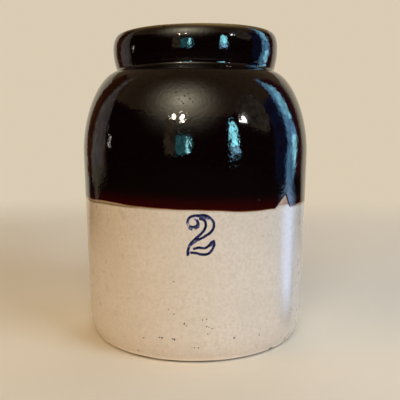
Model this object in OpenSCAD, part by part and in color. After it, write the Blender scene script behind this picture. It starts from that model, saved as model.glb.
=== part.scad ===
// Two-gallon stoneware preserve jar: four luted clay sections, three glaze coats and a capacity figure.
// Millimetres. The jar stands on z = 0 with its axis on Z, and the figure faces -Y.

/* [Clay body] */
// Diameter of the ring that the jar stands on
foot_d = 192; // [184:1:202]
// Diameter of the wall just above the rounded heel
heel_d = 213.6; // [208:0.2:217]
// Widest diameter, where the shoulder begins
body_d = 218.4; // [212:0.2:232]
// Diameter in the groove under the rim
neck_d = 150; // [144:0.2:153]
// Height of the rounded heel
heel_h = 28; // [18:1:36]
// Height of the straight wall, from the heel to the shoulder
wall_h = 152; // [120:1:190]
// Height of the shoulder, from the wall to the groove
shoulder_h = 75; // [60:1:95]
// Thickness of the clay wall
wall_t = 8.5; // [7:0.5:11]
// Thickness of the clay floor
floor_t = 12; // [10:0.5:18]
// Radius inside, where the wall turns into the floor
floor_corner_r = 12; // [6:1:20]
// Width of the ring that the jar stands on
foot_ring_w = 15; // [10:1:24]
// Depth of the hollow under the floor
foot_recess = 1.5; // [1:0.25:3]
// Drop of each luted joint, from the outside of the wall to the inside
seam_bevel = 3; // [1:0.5:4]

/* [Rim] */
// Widest diameter of the rolled rim
rim_d = 157.8; // [154:0.2:170]
// Diameter of the crest of the rim
crest_d = 147; // [140:0.5:151]
// Clear diameter of the mouth, inside the lining
mouth_d = 126; // [112:0.5:130]
// Height from the groove to the widest part of the rim
roll_h = 21.5; // [16:0.5:28]
// Height from the widest part of the rim to its crest
crown_h = 12.7; // [10:0.1:18]
// Height of the rounded lip inside the mouth
lip_h = 9; // [5:0.5:11]

/* [Glaze] */
// Thickness of the brown slip, outside and inside
slip_t = 0.8; // [0.5:0.1:1.2]
// Thickness of the white glaze
white_t = 0.6; // [0.4:0.1:1]
// Drop from the start of the shoulder to the line where the two glazes meet
dip_drop = 45; // [30:1:60]
// Slant of that line, higher at the left of the figure
dip_tilt = 1.6; // [0:0.1:3]
// Height of the bare clay left above the foot
bare_h = 2; // [1:0.25:4]
// Direction of the flake lost from the brown edge, to the right of the figure
flake_angle = 45; // [35:1:60]
// Width of that flake
flake_w = 21; // [10:0.5:26]
// Height of that flake
flake_h = 12; // [6:0.5:18]

/* [Capacity figure] */
// Height of the figure
figure_h = 35; // [25:0.5:45]
// Drop from the line between the glazes to the top of the figure
figure_drop = 3.5; // [2:0.5:20]
// Distance of the figure to the right of the front
figure_shift = 4.5; // [-20:0.5:20]
// Width of the inked line
figure_line = 1.5; // [1:0.1:1.8]
// Thickness of the ink
figure_t = 0.25; // [0.15:0.05:0.4]

/* [Hidden] */

$fn = 144;
curve_steps = 16;
stroke_steps = 6;
shoulder_fullness = 1.8;
roll_steps = 8;
bare_steps = 4;
seam_clear = 1;
inner_edge_r = min(4, 0.6 * (wall_t - seam_bevel));

foot_r = foot_d / 2;
heel_r = heel_d / 2;
body_r = body_d / 2;
neck_r = neck_d / 2;
rim_r = rim_d / 2;
crest_r = crest_d / 2;
mouth_r = mouth_d / 2 + slip_t;

shoulder_z = heel_h + wall_h;
neck_z = shoulder_z + shoulder_h;
bulge_z = neck_z + roll_h;
crest_z = bulge_z + crown_h;
lip_z = crest_z - lip_h;
throat_z = neck_z - wall_t;
dip_z = shoulder_z - dip_drop;
base_rim_z = max(heel_h, floor_t + floor_corner_r) + seam_clear;
reach = 2 * body_d;

// The figure is drawn on a field of this size and scaled to figure_h
field_h = 35;
field_w = 24;
figure_scale = figure_h / field_h;
figure_middle_z = dip_z - figure_drop - figure_h / 2;

// Radius of the outside of the straight wall at a height
function wall_r(z) = heel_r + (body_r - heel_r) * (z - heel_h) / wall_h;

// Radius of the inside of the straight wall at a height
function inside_r(z) = wall_r(z) - wall_t;

// A point of the rounded heel, from 0 degrees at the foot to 90 at the wall
function heel_point(angle) = [foot_r + (heel_r - foot_r) * sin(angle), heel_h * (1 - cos(angle))];

// A quarter of a rounded curve from one point to another, leaving the first one straight up or down
// and reaching the second one level. A fullness of 2 is an ellipse and more is squarer.
function quarter(from, to, fullness) = [
    for (step = [0 : curve_steps])
        let (angle = 90 * step / curve_steps)
        [
            to[0] + (from[0] - to[0]) * pow(cos(angle), 2 / fullness),
            from[1] + (to[1] - from[1]) * pow(sin(angle), 2 / fullness)
        ]
];

function backwards(points) = [for (i = [len(points) - 1 : -1 : 0]) points[i]];

// The points of a chain without its first one, which the chain before it already holds
function rest_of(points) = [for (i = [1 : len(points) - 1]) points[i]];

function unit(v) = v / norm(v);

// The direction that points out of the clay at one point of a chain that runs up the outside
function out_of(points, i) =
    let (
        before = unit(points[max(i, 1)] - points[max(i, 1) - 1]),
        last = len(points) - 2,
        after = unit(points[min(i, last) + 1] - points[min(i, last)]),
        along = unit(before + after)
    )
    [along[1], -along[0]] / max(0.5, before * along);

// A chain of points moved out of the clay by a thickness
function moved_out(points, thickness) = [
    for (i = [0 : len(points) - 1]) points[i] + thickness * out_of(points, i)
];

// A smooth line through a few points, each stretch leaning on its neighbours
function smooth(points) = [
    for (i = [0 : len(points) - 2], step = [0 : stroke_steps - 1])
        let (
            t = step / stroke_steps,
            a = points[max(i - 1, 0)],
            b = points[i],
            c = points[i + 1],
            d = points[min(i + 2, len(points) - 1)]
        )
        b + 0.5 * t * (c - a)
            + 0.5 * t * t * (2 * a - 5 * b + 4 * c - d)
            + 0.5 * t * t * t * (3 * b - a - 3 * c + d),
    points[len(points) - 1]
];

// The points inside a half circle that ends a line, for the direction in which the line ends
function round_end(centre, angle, radius) = [
    for (step = [1 : stroke_steps - 1])
        let (turn = angle - 90 + 180 * step / stroke_steps)
        centre + radius * [cos(turn), sin(turn)]
];

// Outlines of the clay, each running up the outside, over the crest and down the inside
shoulder_line = quarter([body_r, shoulder_z], [neck_r, neck_z], shoulder_fullness);
roll_line = [
    for (step = [0 : roll_steps])
        let (below = 1 - step / roll_steps)
        [rim_r - (rim_r - neck_r) * below * below, bulge_z - roll_h * below]
];
crown_line = quarter([rim_r, bulge_z], [crest_r, crest_z], 2);
lip_line = backwards(quarter([mouth_r, lip_z], [crest_r, crest_z], 2));
throat_edge = quarter([mouth_r, throat_z + inner_edge_r], [mouth_r + inner_edge_r, throat_z], 2);
inside_shoulder = backwards(
    quarter([inside_r(shoulder_z), shoulder_z], [mouth_r + inner_edge_r, throat_z], shoulder_fullness)
);
floor_corner = quarter(
    [inside_r(floor_t + floor_corner_r), floor_t + floor_corner_r],
    [inside_r(floor_t + floor_corner_r) - floor_corner_r, floor_t],
    2
);

base_outer = [wall_r(base_rim_z + seam_bevel), base_rim_z + seam_bevel];
base_inner = [inside_r(base_rim_z), base_rim_z];
body_outer = [body_r, shoulder_z];
body_inner = [inside_r(shoulder_z - seam_bevel), shoulder_z - seam_bevel];
collar_inner = [mouth_r, neck_z - seam_bevel];
slip_meet = [mouth_r, lip_z - seam_clear];

// The heel in two stretches: a bare ring of clay, and the rest, where the white glaze begins
glazed_heel_start = acos(1 - bare_h / heel_h);
bare_heel = [
    for (step = [0 : bare_steps - 1]) heel_point(glazed_heel_start * step / bare_steps)
];
glazed_heel = [
    for (step = [0 : curve_steps])
        heel_point(glazed_heel_start + (90 - glazed_heel_start) * step / curve_steps)
];
heel_line = concat(bare_heel, glazed_heel);
white_line = concat(glazed_heel, [body_outer]);
brown_line = concat(
    [[heel_r, heel_h]],
    shoulder_line,
    rest_of(roll_line),
    rest_of(crown_line),
    rest_of(lip_line),
    [slip_meet]
);
lining_line = concat(
    [slip_meet], throat_edge, rest_of(inside_shoulder), floor_corner, [[0, floor_t]]
);

// The straight wall at a distance out of the clay, as the white glaze has it
function wall_skin(distance) =
    let (points = moved_out(white_line, distance), last = len(points) - 1)
    [points[last - 1], points[last]];

// The numeral as a drawn outline: a ball that runs into the bowl, a stem with its tail, and a wavy foot
bowl_line = [
    [8.8, 29.8], [9.4, 27], [7.5, 24.8], [4.5, 24.2], [1.8, 26], [1, 29], [2.5, 32], [6, 33.6], [10, 33.9],
    [14, 34.2], [18.5, 32.6], [22, 28.8], [22.6, 24.4], [20.2, 20], [14.5, 16], [9.5, 13.6]
];
stem_line = [
    [11.2, 31], [13.6, 30.6], [15.6, 28.6], [15.8, 24.4], [13.2, 19.8], [8.4, 15.4], [4, 11], [1.9, 7.2],
    [1.2, 4.2], [1.2, 1]
];
over_foot_line = [[6, 6], [10, 7], [14.5, 6.5], [18, 8], [20.8, 11.4]];
under_foot_line = [
    [22.4, 12.4], [23, 9.6], [21.8, 6], [19.5, 2.8], [16.5, 1.2], [12.5, 1.2], [8, 2.4], [3.5, 2.8]
];
figure_lines = [bowl_line, stem_line, over_foot_line, under_foot_line];

// A thin shell between two distances out of a chain
module shell(points, near, far) {
    rotate_extrude() polygon(concat(moved_out(points, near), backwards(moved_out(points, far))));
}

// All the space above the slanted line where the two glazes meet
module above_dip_line() {
    translate([0, 0, dip_z]) rotate([0, dip_tilt, 0]) translate([-reach, -reach, 0])
        cube([2 * reach, 2 * reach, reach]);
}

// The outline of the flake, with its foot on the line between the glazes
module flake() {
    flake_z = dip_z - body_r * sin(flake_angle) * tan(dip_tilt);
    rotate([0, 0, flake_angle]) translate([0, 0, flake_z]) rotate([90, 0, 0]) linear_extrude(reach)
        polygon([
            [-0.55 * flake_w, -0.3 * flake_h],
            [-0.53 * flake_w, 0.02 * flake_h],
            [-0.2 * flake_w, 0.5 * flake_h],
            [0.14 * flake_w, flake_h],
            [0.3 * flake_w, 0.52 * flake_h],
            [0.47 * flake_w, 0.1 * flake_h],
            [0.47 * flake_w, -0.3 * flake_h]
        ]);
}

// One inked line of the figure, with round ends
module stroke(points) {
    line = smooth(points);
    last = len(line) - 1;
    half = figure_line / 2 / figure_scale;
    start_angle = atan2(line[0][1] - line[1][1], line[0][0] - line[1][0]);
    end_angle = atan2(line[last][1] - line[last - 1][1], line[last][0] - line[last - 1][0]);
    polygon(concat(
        moved_out(line, half),
        round_end(line[last], end_angle, half),
        backwards(moved_out(line, -half)),
        round_end(line[0], start_angle, half)
    ));
}

module base_dish() {
    ring_r = foot_r - foot_ring_w;
    color("burlywood") rotate_extrude() polygon(concat(
        [[0, foot_recess], [ring_r, foot_recess], [ring_r + foot_recess, 0]],
        heel_line,
        [base_outer, base_inner],
        floor_corner,
        [[0, floor_t]]
    ));
}

module lower_wall() {
    color("wheat") rotate_extrude() polygon([base_outer, body_outer, body_inner, base_inner]);
}

module shoulder() {
    color("burlywood") rotate_extrude() polygon(concat(
        shoulder_line,
        [collar_inner],
        throat_edge,
        rest_of(inside_shoulder),
        [body_inner]
    ));
}

module rim_collar() {
    color("wheat") rotate_extrude() polygon(concat(
        roll_line, rest_of(crown_line), rest_of(lip_line), [collar_inner]
    ));
}

module white_glaze() {
    color("antiquewhite") difference() {
        shell(white_line, 0, white_t);
        above_dip_line();
    }
}

module brown_glaze() {
    color("#2a0f08") difference() {
        intersection() {
            shell(brown_line, 0, slip_t);
            above_dip_line();
        }
        flake();
    }
}

module lining_glaze() {
    color("#3a1a0c") shell(lining_line, 0, slip_t);
}

module capacity_figure() {
    under = wall_skin(white_t);
    over = wall_skin(white_t + figure_t);
    color("midnightblue") for (line = figure_lines) intersection() {
        rotate_extrude() polygon([under[0], under[1], over[1], over[0]]);
        translate([figure_shift, 0, figure_middle_z]) rotate([90, 0, 0]) linear_extrude(reach)
            scale(figure_scale) translate([-field_w / 2, -field_h / 2]) stroke(line);
    }
}

base_dish();
lower_wall();
shoulder();
rim_collar();
white_glaze();
brown_glaze();
lining_glaze();
capacity_figure();
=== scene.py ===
"""Dresses a two-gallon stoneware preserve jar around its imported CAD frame.

The four clay sections keep their CAD solids. The glaze coats and the stamped figure are modelled again
as finer closed meshes: turned coats with a beaded dip line, a lost flake, chips at the foot and a nick
in the rim, a ringed lining and a raised, uneven print. Everything is in metres in the CAD frame: +Z is
up, the figure faces -Y, and an azimuth is measured in degrees from the figure towards +X.
"""

import logging
import math
from collections.abc import Callable
from dataclasses import dataclass
from enum import Enum
from typing import ClassVar

import bpy
import numpy as np
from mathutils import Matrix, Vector


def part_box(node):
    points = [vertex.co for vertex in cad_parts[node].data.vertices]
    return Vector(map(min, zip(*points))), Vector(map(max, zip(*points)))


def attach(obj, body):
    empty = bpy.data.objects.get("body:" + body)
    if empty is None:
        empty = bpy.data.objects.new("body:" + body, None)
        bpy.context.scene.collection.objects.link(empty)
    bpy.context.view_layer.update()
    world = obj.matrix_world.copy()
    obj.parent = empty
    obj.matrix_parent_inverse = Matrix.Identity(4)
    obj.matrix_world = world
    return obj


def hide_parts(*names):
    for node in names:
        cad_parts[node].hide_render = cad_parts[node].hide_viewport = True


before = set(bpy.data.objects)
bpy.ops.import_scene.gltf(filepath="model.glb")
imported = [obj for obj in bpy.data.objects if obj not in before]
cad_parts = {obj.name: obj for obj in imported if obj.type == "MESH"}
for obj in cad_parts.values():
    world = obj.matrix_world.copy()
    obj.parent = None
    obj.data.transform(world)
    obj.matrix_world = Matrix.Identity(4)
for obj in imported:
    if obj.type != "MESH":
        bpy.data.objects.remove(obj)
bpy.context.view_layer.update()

Array = np.ndarray
Colour = tuple[float, float, float]
Range = tuple[float, float]
Point = tuple[float, float]
Place = tuple[float, float, float]
Faces = list[list[int]]
Socket = bpy.types.NodeSocket
Sockets = bpy.types.bpy_prop_collection

MM = 0.001
BODY = "root"
CURVE_POINTS = 60
ELLIPSE = 2
CLEARANCE = 0.02 * MM
SAME_PLACE = 1e-7
NO_AREA = 1e-12
EVEN_STEP = 0.1
SHARP_EDGE = math.radians(38)

log = logging.getLogger("preserve_jar")


class Slot(Enum):
    """Material slots of the record that match the new pieces."""

    WHITE = "white_glaze"
    BROWN = "brown_glaze"
    LINING = "lining_glaze"
    INK = "blue_ink"


class Mask(Enum):
    """Values from 0 to 1 that the meshes carry at their corners for the finishes."""

    THIN = "thin"
    STAIN = "stain"
    INK = "ink"
    CREST = "crest"
    BREAK = "break"


class Rays(Enum):
    """Rays that see a light: every kind, only mirrored ones or only scattered ones."""

    ALL = "all"
    SHINE = "shine"
    SOFT = "soft"


class LampShape(Enum):
    """Outlines that a light can have."""

    OBLONG = "RECTANGLE"
    ROUND = "DISK"


class Plug(Enum):
    """What goes into or comes out of a shader group."""

    VALUE = "NodeSocketFloat"
    COLOUR = "NodeSocketColor"


class Sum(Enum):
    """Sums that the shaders do on one or two values."""

    ADD = "ADD"
    SUBTRACT = "SUBTRACT"
    MULTIPLY = "MULTIPLY"
    DIVIDE = "DIVIDE"
    POWER = "POWER"
    MAXIMUM = "MAXIMUM"
    LESS_THAN = "LESS_THAN"
    ABSOLUTE = "ABSOLUTE"
    SINE = "SINE"
    ARCTAN2 = "ARCTAN2"


def quarter(start: Point, end: Point, fullness: float) -> Array:
    """Draws a quarter of a rounded curve that leaves its start upright and reaches its end level.

    Args:
        start: Radius and height of the upright end.
        end: Radius and height of the level end.
        fullness: ELLIPSE for an ellipse, more for a squarer curve, less for a flatter one.

    Returns:
        Rows of radius and height.
    """
    angle = np.linspace(0.0, math.pi / 2, CURVE_POINTS)
    radius = end[0] + (start[0] - end[0]) * np.cos(angle) ** (ELLIPSE / fullness)
    height = start[1] + (end[1] - start[1]) * np.sin(angle) ** (ELLIPSE / fullness)
    return np.column_stack([radius, height])


def ease(low: float, high: float, value: Array) -> Array:
    """Rises smoothly from 0 at low to 1 at high."""
    share = np.clip((value - low) / (high - low), 0.0, 1.0)
    return share * share * (3 - 2 * share)


def hill(value: Array, width: float) -> Array:
    """A smooth hill of height 1 about zero that falls off over a width."""
    return np.exp(-((value / width) ** 2))


def turned_apart(azimuth: Array, centre: float) -> Array:
    """Signed degrees from a centre to each azimuth, the short way round."""
    return (azimuth - centre + 180.0) % 360.0 - 180.0


@dataclass(frozen=True)
class Wave:
    """A sine wave: how often it rises, where it starts, how tall it is and how it slants with height."""

    count: float
    start: float = 0.0
    tall: float = 1.0
    slant: float = 0.0

    def along(self, phase: Array, height: Array | float = 0.0) -> Array:
        """Level of the wave at each phase and height."""
        return self.tall * np.sin(self.count * phase + self.start + self.slant * height)


def summed(waves: tuple[Wave, ...], phase: Array, height: Array | float = 0.0) -> Array:
    """Level of several waves together at each phase and height."""
    return sum(wave.along(phase, height) for wave in waves)


class NodeShape:
    """Radii and heights of the corners of a CAD node about the jar's axis."""

    def __init__(self, node: str) -> None:
        """Reads a node of the frame.

        Args:
            node: Name of the CAD node.
        """
        corners = np.array([corner.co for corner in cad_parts[node].data.vertices])
        self.radii = np.hypot(corners[:, 0], corners[:, 1])
        self.heights = corners[:, 2]
        self.bottom = float(self.heights.min())
        self.top = float(self.heights.max())

    def widest_at(self, height: float) -> float:
        """Largest radius among the corners at a height."""
        return float(self.radii[np.abs(self.heights - height) < CLEARANCE].max())


class TurnedLine:
    """A chain of radii and heights, running up the jar, that is turned about its axis."""

    def __init__(self, points: Array) -> None:
        """Measures the way along the chain and the directions out of it.

        Args:
            points: Rows of radius and height.
        """
        # Points that coincide give no direction, so only the first of them is kept.
        fresh = np.concatenate([[True], np.hypot(*np.diff(points, axis=0).T) > SAME_PLACE])
        self.points = points[fresh]
        self.way = np.concatenate([[0.0], np.cumsum(np.hypot(*np.diff(self.points, axis=0).T))])
        ahead = np.gradient(self.points, self.way, axis=0)
        ahead /= np.linalg.norm(ahead, axis=1)[:, None]
        self.outward = np.column_stack([ahead[:, 1], -ahead[:, 0]])
        self.length = float(self.way[-1])
        self.crest = int(np.argmax(self.points[:, 1]))

    def moved_out(self, distance: float) -> "TurnedLine":
        """The same chain at a distance to its outer side."""
        return TurnedLine(self.points + distance * self.outward)

    def way_at(self, height: Array) -> Array:
        """Way along the rising part of the chain at which it reaches each height."""
        return np.interp(height, self.points[: self.crest + 1, 1], self.way[: self.crest + 1])

    def at(self, way: Array, proud: Array) -> Array:
        """Finds points that stand proud of the chain.

        Args:
            way: Distances along the chain, in any shape.
            proud: Distances out of the chain, in the same shape.

        Returns:
            Radii and heights, with one more axis of two.
        """
        place = [np.interp(way, self.way, self.points[:, axis]) for axis in (0, 1)]
        lean = [np.interp(way, self.way, self.outward[:, axis]) for axis in (0, 1)]
        return np.stack([place[axis] + proud * lean[axis] for axis in (0, 1)], axis=-1)

    def upward(self, way: Array) -> Array:
        """Upward share of the direction out of the chain."""
        return np.interp(way, self.way, self.outward[:, 1])


@dataclass(frozen=True)
class JarForm:
    """Turned shape of the clay and the sizes of its coats, read from the frame's nodes."""

    foot_r: float
    heel_r: float
    body_r: float
    neck_r: float
    rim_r: float
    crest_r: float
    mouth_r: float
    shoulder_z: float
    neck_z: float
    bulge_z: float
    crest_z: float
    lip_z: float
    floor_z: float
    bare_z: float
    wall_t: float
    slip_t: float
    white_t: float
    dip_z: float
    dip_slope: float
    slip_end_z: float
    heel_z: float = 28 * MM
    groove_r: float = 3.2 * MM
    floor_corner_r: float = 12 * MM
    throat_r: float = 3.3 * MM
    shoulder_fullness: float = 1.8
    wobble: float = 0.1 * MM
    wobbles: tuple[Wave, ...] = (Wave(2, 0.6, 0.65, 9.0), Wave(5, 1.3, 0.35, -31.0))

    @classmethod
    def from_frame(cls) -> "JarForm":
        """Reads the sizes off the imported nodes.

        Returns:
            The form of the jar as it was packed.
        """
        base = NodeShape("base_dish")
        wall = NodeShape("lower_wall")
        shoulder = NodeShape("shoulder")
        collar = NodeShape("rim_collar")
        white = NodeShape("white_glaze")
        brown = NodeShape("brown_glaze")
        lining = NodeShape("lining_glaze")
        body_r = float(wall.radii.max())
        lean = (body_r - base.widest_at(base.top)) / (wall.top - base.top)
        mouth_r = float(collar.radii.min())

        def wall_r(height: float) -> float:
            """Radius of the outside of the wall at a height."""
            return body_r - lean * (wall.top - height)

        return cls(
            foot_r=base.widest_at(base.bottom),
            heel_r=wall_r(cls.heel_z),
            body_r=body_r,
            neck_r=shoulder.widest_at(shoulder.top),
            rim_r=float(collar.radii.max()),
            crest_r=collar.widest_at(collar.top),
            mouth_r=mouth_r,
            shoulder_z=wall.top,
            neck_z=shoulder.top,
            bulge_z=float(collar.heights[np.argmax(collar.radii)]),
            crest_z=collar.top,
            lip_z=float(collar.heights[collar.radii < mouth_r + CLEARANCE].max()),
            floor_z=lining.bottom,
            bare_z=white.bottom,
            wall_t=wall_r(wall.bottom) - wall.widest_at(wall.bottom),
            slip_t=brown.top - collar.top,
            white_t=white.widest_at(white.top) - wall_r(white.top),
            dip_z=(white.top + brown.bottom) / 2,
            dip_slope=(white.top - brown.bottom) / (2 * float(brown.radii.max())),
            slip_end_z=lining.top,
        )

    def wall_radius(self, height: Array) -> Array:
        """Radius of the outside of the straight wall at each height."""
        lean = (self.body_r - self.heel_r) / (self.shoulder_z - self.heel_z)
        return self.heel_r + lean * (height - self.heel_z)

    def unevenness(self, azimuth: Array, height: Array) -> Array:
        """Gentle thickening and thinning of the outer coats, as hands and kiln leave it."""
        return self.wobble * summed(self.wobbles, np.radians(azimuth), height)

    def wall_line(self) -> Array:
        """Outside of the straight wall, from the heel to the shoulder."""
        heights = np.linspace(self.heel_z, self.shoulder_z, CURVE_POINTS)
        return np.column_stack([self.wall_radius(heights), heights])

    def lower_line(self) -> TurnedLine:
        """Draws the outside of the clay from the foot to the shoulder.

        Returns:
            The outside, with the rounded heel.
        """
        angle = np.linspace(0.0, math.pi / 2, CURVE_POINTS)
        radius = self.foot_r + (self.heel_r - self.foot_r) * np.sin(angle)
        heel = np.column_stack([radius, self.heel_z * (1 - np.cos(angle))])
        return TurnedLine(np.vstack([heel, self.wall_line()]))

    def upper_line(self, thickness: float) -> TurnedLine:
        """Draws a coat's surface from the wall over the shoulder and the rim into the mouth.

        Args:
            thickness: Distance out of the clay.

        Returns:
            The surface, with the groove under the rim filled to a small round.
        """
        wall_top = (self.body_r, self.shoulder_z)
        crest = (self.crest_r, self.crest_z)
        shoulder = quarter(wall_top, (self.neck_r, self.neck_z), self.shoulder_fullness)
        below = np.linspace(1.0, 0.0, CURVE_POINTS)
        roll_radius = self.rim_r - (self.rim_r - self.neck_r) * below**2
        roll = np.column_stack([roll_radius, self.bulge_z - (self.bulge_z - self.neck_z) * below])
        crown = quarter((self.rim_r, self.bulge_z), crest, ELLIPSE)
        lip = quarter((self.mouth_r, self.lip_z), crest, ELLIPSE)[::-1]
        inside = [[self.mouth_r, self.slip_end_z]]
        under = TurnedLine(np.vstack([self.wall_line(), shoulder])).moved_out(thickness).points
        over = TurnedLine(np.vstack([roll, crown, lip, inside])).moved_out(thickness).points
        # A small round bridges the groove under the rim, because slip gathers there.
        corner_z = self.neck_z + thickness
        rising = over[: np.argmax(over[:, 1])]
        corner = np.array([np.interp(corner_z, rising[:, 1], rising[:, 0]), corner_z])
        under = under[under[:, 0] > corner[0] + self.groove_r]
        over = over[np.argmax(over[:, 1] > corner_z + self.groove_r):]
        share = np.linspace(0.0, 1.0, CURVE_POINTS // 2)[1:-1, None]
        bend = (1 - share) ** 2 * under[-1] + 2 * share * (1 - share) * corner + share**2 * over[0]
        return TurnedLine(np.vstack([under, bend, over]))

    def inside_line(self) -> TurnedLine:
        """Draws the inside of the clay from the middle of the floor up to the mouth.

        Returns:
            The inside, with its rounded corner and the throat.
        """
        corner_z = self.floor_z + self.floor_corner_r
        corner_r = float(self.wall_radius(np.array(corner_z))) - self.wall_t
        wall_r = self.body_r - self.wall_t
        throat_z = self.neck_z - self.wall_t
        throat_r = self.mouth_r + self.throat_r
        floor_end = corner_r - self.floor_corner_r
        across = np.linspace(0.0, floor_end, CURVE_POINTS)
        floor = np.column_stack([across, np.full(CURVE_POINTS, self.floor_z)])
        corner = quarter((corner_r, corner_z), (floor_end, self.floor_z), ELLIPSE)[::-1]
        wall = np.linspace((corner_r, corner_z), (wall_r, self.shoulder_z), CURVE_POINTS)
        shoulder = quarter((wall_r, self.shoulder_z), (throat_r, throat_z), self.shoulder_fullness)
        throat_top = (self.mouth_r, throat_z + self.throat_r)
        throat = quarter(throat_top, (throat_r, throat_z), ELLIPSE)[::-1]
        end = [[self.mouth_r, self.slip_end_z]]
        return TurnedLine(np.vstack([floor, corner, wall, shoulder, throat, end]))


@dataclass(frozen=True)
class Wash:
    """A stroke of ink that has run or worn away: X and Z along its middle and its width, in millimetres."""

    points: tuple[Point, ...]
    width: float
    strength: float


@dataclass(frozen=True)
class FineSpan:
    """A stretch of azimuths that needs closer columns than the rest."""

    centre: float
    half: float
    step: float


def columns_round(count: int, spans: tuple[FineSpan, ...]) -> Array:
    """Spreads columns round the jar.

    Args:
        count: Number of even columns.
        spans: Stretches with closer columns.

    Returns:
        Rising azimuths from -180 to 180 degrees.
    """
    even = np.linspace(-180.0, 180.0, count, endpoint=False)
    fine = [np.arange(span.centre - span.half, span.centre + span.half, span.step) for span in spans]
    every = np.sort(np.concatenate([even, *fine]))
    least = min([span.step for span in spans], default=EVEN_STEP) / 2
    return every[np.concatenate([[True], np.diff(every) > least])]


def mesh_piece(name: str, corners: Array, faces: Faces, masks: dict[Mask, Array]) -> bpy.types.Object:
    """Makes a smooth-shaded mesh object.

    Args:
        name: Name of the piece.
        corners: Places of the corners, one row each.
        faces: Corner numbers of each face.
        masks: Values at the corners for the finishes.

    Returns:
        The new object, linked to the scene.
    """
    mesh = bpy.data.meshes.new(name)
    mesh.from_pydata(corners.tolist(), [], faces)
    mesh.validate()
    for mask, values in masks.items():
        layer = mesh.attributes.new(mask.value, "FLOAT", "POINT")
        layer.data.foreach_set("value", values.astype(np.float32).ravel())
    mesh.shade_smooth()
    mesh.set_sharp_from_angle(angle=SHARP_EDGE)
    piece = bpy.data.objects.new(name, mesh)
    bpy.context.scene.collection.objects.link(piece)
    return piece


def turn_sections(azimuths: Array, sections: Array) -> Array:
    """Sets sections round the axis.

    Args:
        azimuths: Direction of each section.
        sections: Radii and heights, as columns, rows and two.

    Returns:
        One place per corner, column by column.
    """
    turn = np.radians(azimuths)[:, None]
    radius = sections[..., 0]
    places = [radius * np.sin(turn), -radius * np.cos(turn), sections[..., 1]]
    return np.stack(places, axis=-1).reshape(-1, 3)


def ring_faces(columns: int, rows: int, closed: bool) -> Faces:
    """Lists the quads of a grid that closes round the axis.

    Args:
        columns: Number of columns round the axis.
        rows: Number of corners in each column.
        closed: Whether the last row joins the first one.

    Returns:
        Four corner numbers per face, with the outside facing out.
    """
    column = np.arange(columns)[:, None] * rows
    after = (np.arange(columns)[:, None] + 1) % columns * rows
    row = np.arange(rows if closed else rows - 1)[None, :]
    above = (row + 1) % rows
    quads = np.stack([column + row, after + row, after + above, column + above], axis=-1)
    return quads.reshape(-1, 4).tolist()


class NodeSheet:
    """Places and links shader nodes on one node tree."""

    def __init__(self, tree: bpy.types.NodeTree) -> None:
        """Keeps the tree that the nodes go on.

        Args:
            tree: A material's or a group's node tree.
        """
        self.tree = tree

    def place(self, kind: str, inputs: dict | None = None, **settings: object) -> bpy.types.Node:
        """Adds a node.

        Args:
            kind: Blender's name for the node.
            inputs: Values or sockets by the name or number of the input that takes them.
            settings: Other properties of the node.

        Returns:
            The new node.
        """
        node = self.tree.nodes.new(kind)
        for name, value in settings.items():
            setattr(node, name, value)
        for name, value in (inputs or {}).items():
            if isinstance(value, Socket):
                self.tree.links.new(value, node.inputs[name])
            else:
                node.inputs[name].default_value = value
        return node

    def sums(self, operation: Sum, a: object, b: object = 0.0) -> Socket:
        """Result of a sum on one or two values."""
        return self.place("ShaderNodeMath", {0: a, 1: b}, operation=operation.value).outputs[0]

    def length(self, vector: Socket) -> Socket:
        """Length of a vector."""
        return self.place("ShaderNodeVectorMath", {0: vector}, operation="LENGTH").outputs["Value"]

    def eased(self, value: object, low: object, high: object) -> Socket:
        """Value that rises smoothly from 0 at low to 1 at high."""
        inputs = {"Value": value, "From Min": low, "From Max": high}
        return self.place("ShaderNodeMapRange", inputs, interpolation_type="SMOOTHSTEP").outputs[0]

    def between(self, share: object, low: float, high: float) -> Socket:
        """Value at a share of the way from low to high."""
        inputs = {"Value": share, "To Min": low, "To Max": high}
        return self.place("ShaderNodeMapRange", inputs).outputs[0]

    def blend(self, share: object, first: object, second: object) -> Socket:
        """Colour at a share of the way from the first to the second."""
        inputs = {0: share, 6: opaque(first), 7: opaque(second)}
        return self.place("ShaderNodeMix", inputs, data_type="RGBA").outputs[2]

    def own_place(self) -> Socket:
        """Place in the piece's own frame, in metres."""
        return self.place("ShaderNodeTexCoord").outputs["Object"]

    def axes(self) -> Sockets:
        """X, Y and Z of the place in the piece's own frame."""
        return self.place("ShaderNodeSeparateXYZ", {0: self.own_place()}).outputs

    def noise(self, scale: object, detail: float = 3.0, rough: float = 0.55) -> Socket:
        """Soft cloudy noise from about 0 to 1."""
        inputs = {"Vector": self.own_place(), "Scale": scale, "Detail": detail, "Roughness": rough}
        return self.place("ShaderNodeTexNoise", inputs).outputs[0]

    def mask(self, mask: Mask) -> Socket:
        """Value that the mesh carries at its corners."""
        return self.place("ShaderNodeAttribute", attribute_name=mask.value).outputs["Fac"]

    def shared(self, group: bpy.types.NodeTree, **values: float) -> Socket:
        """Output of a shared group, placed with its own values."""
        inputs = {name.capitalize(): value for name, value in values.items()}
        return self.place("ShaderNodeGroup", inputs, node_tree=group).outputs[0]

    def bump(self, height: Socket, depth: float) -> Socket:
        """Normal of a surface that is uneven by a depth."""
        inputs = {"Height": height, "Distance": depth, "Strength": 1.0}
        return self.place("ShaderNodeBump", inputs).outputs[0]


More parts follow.
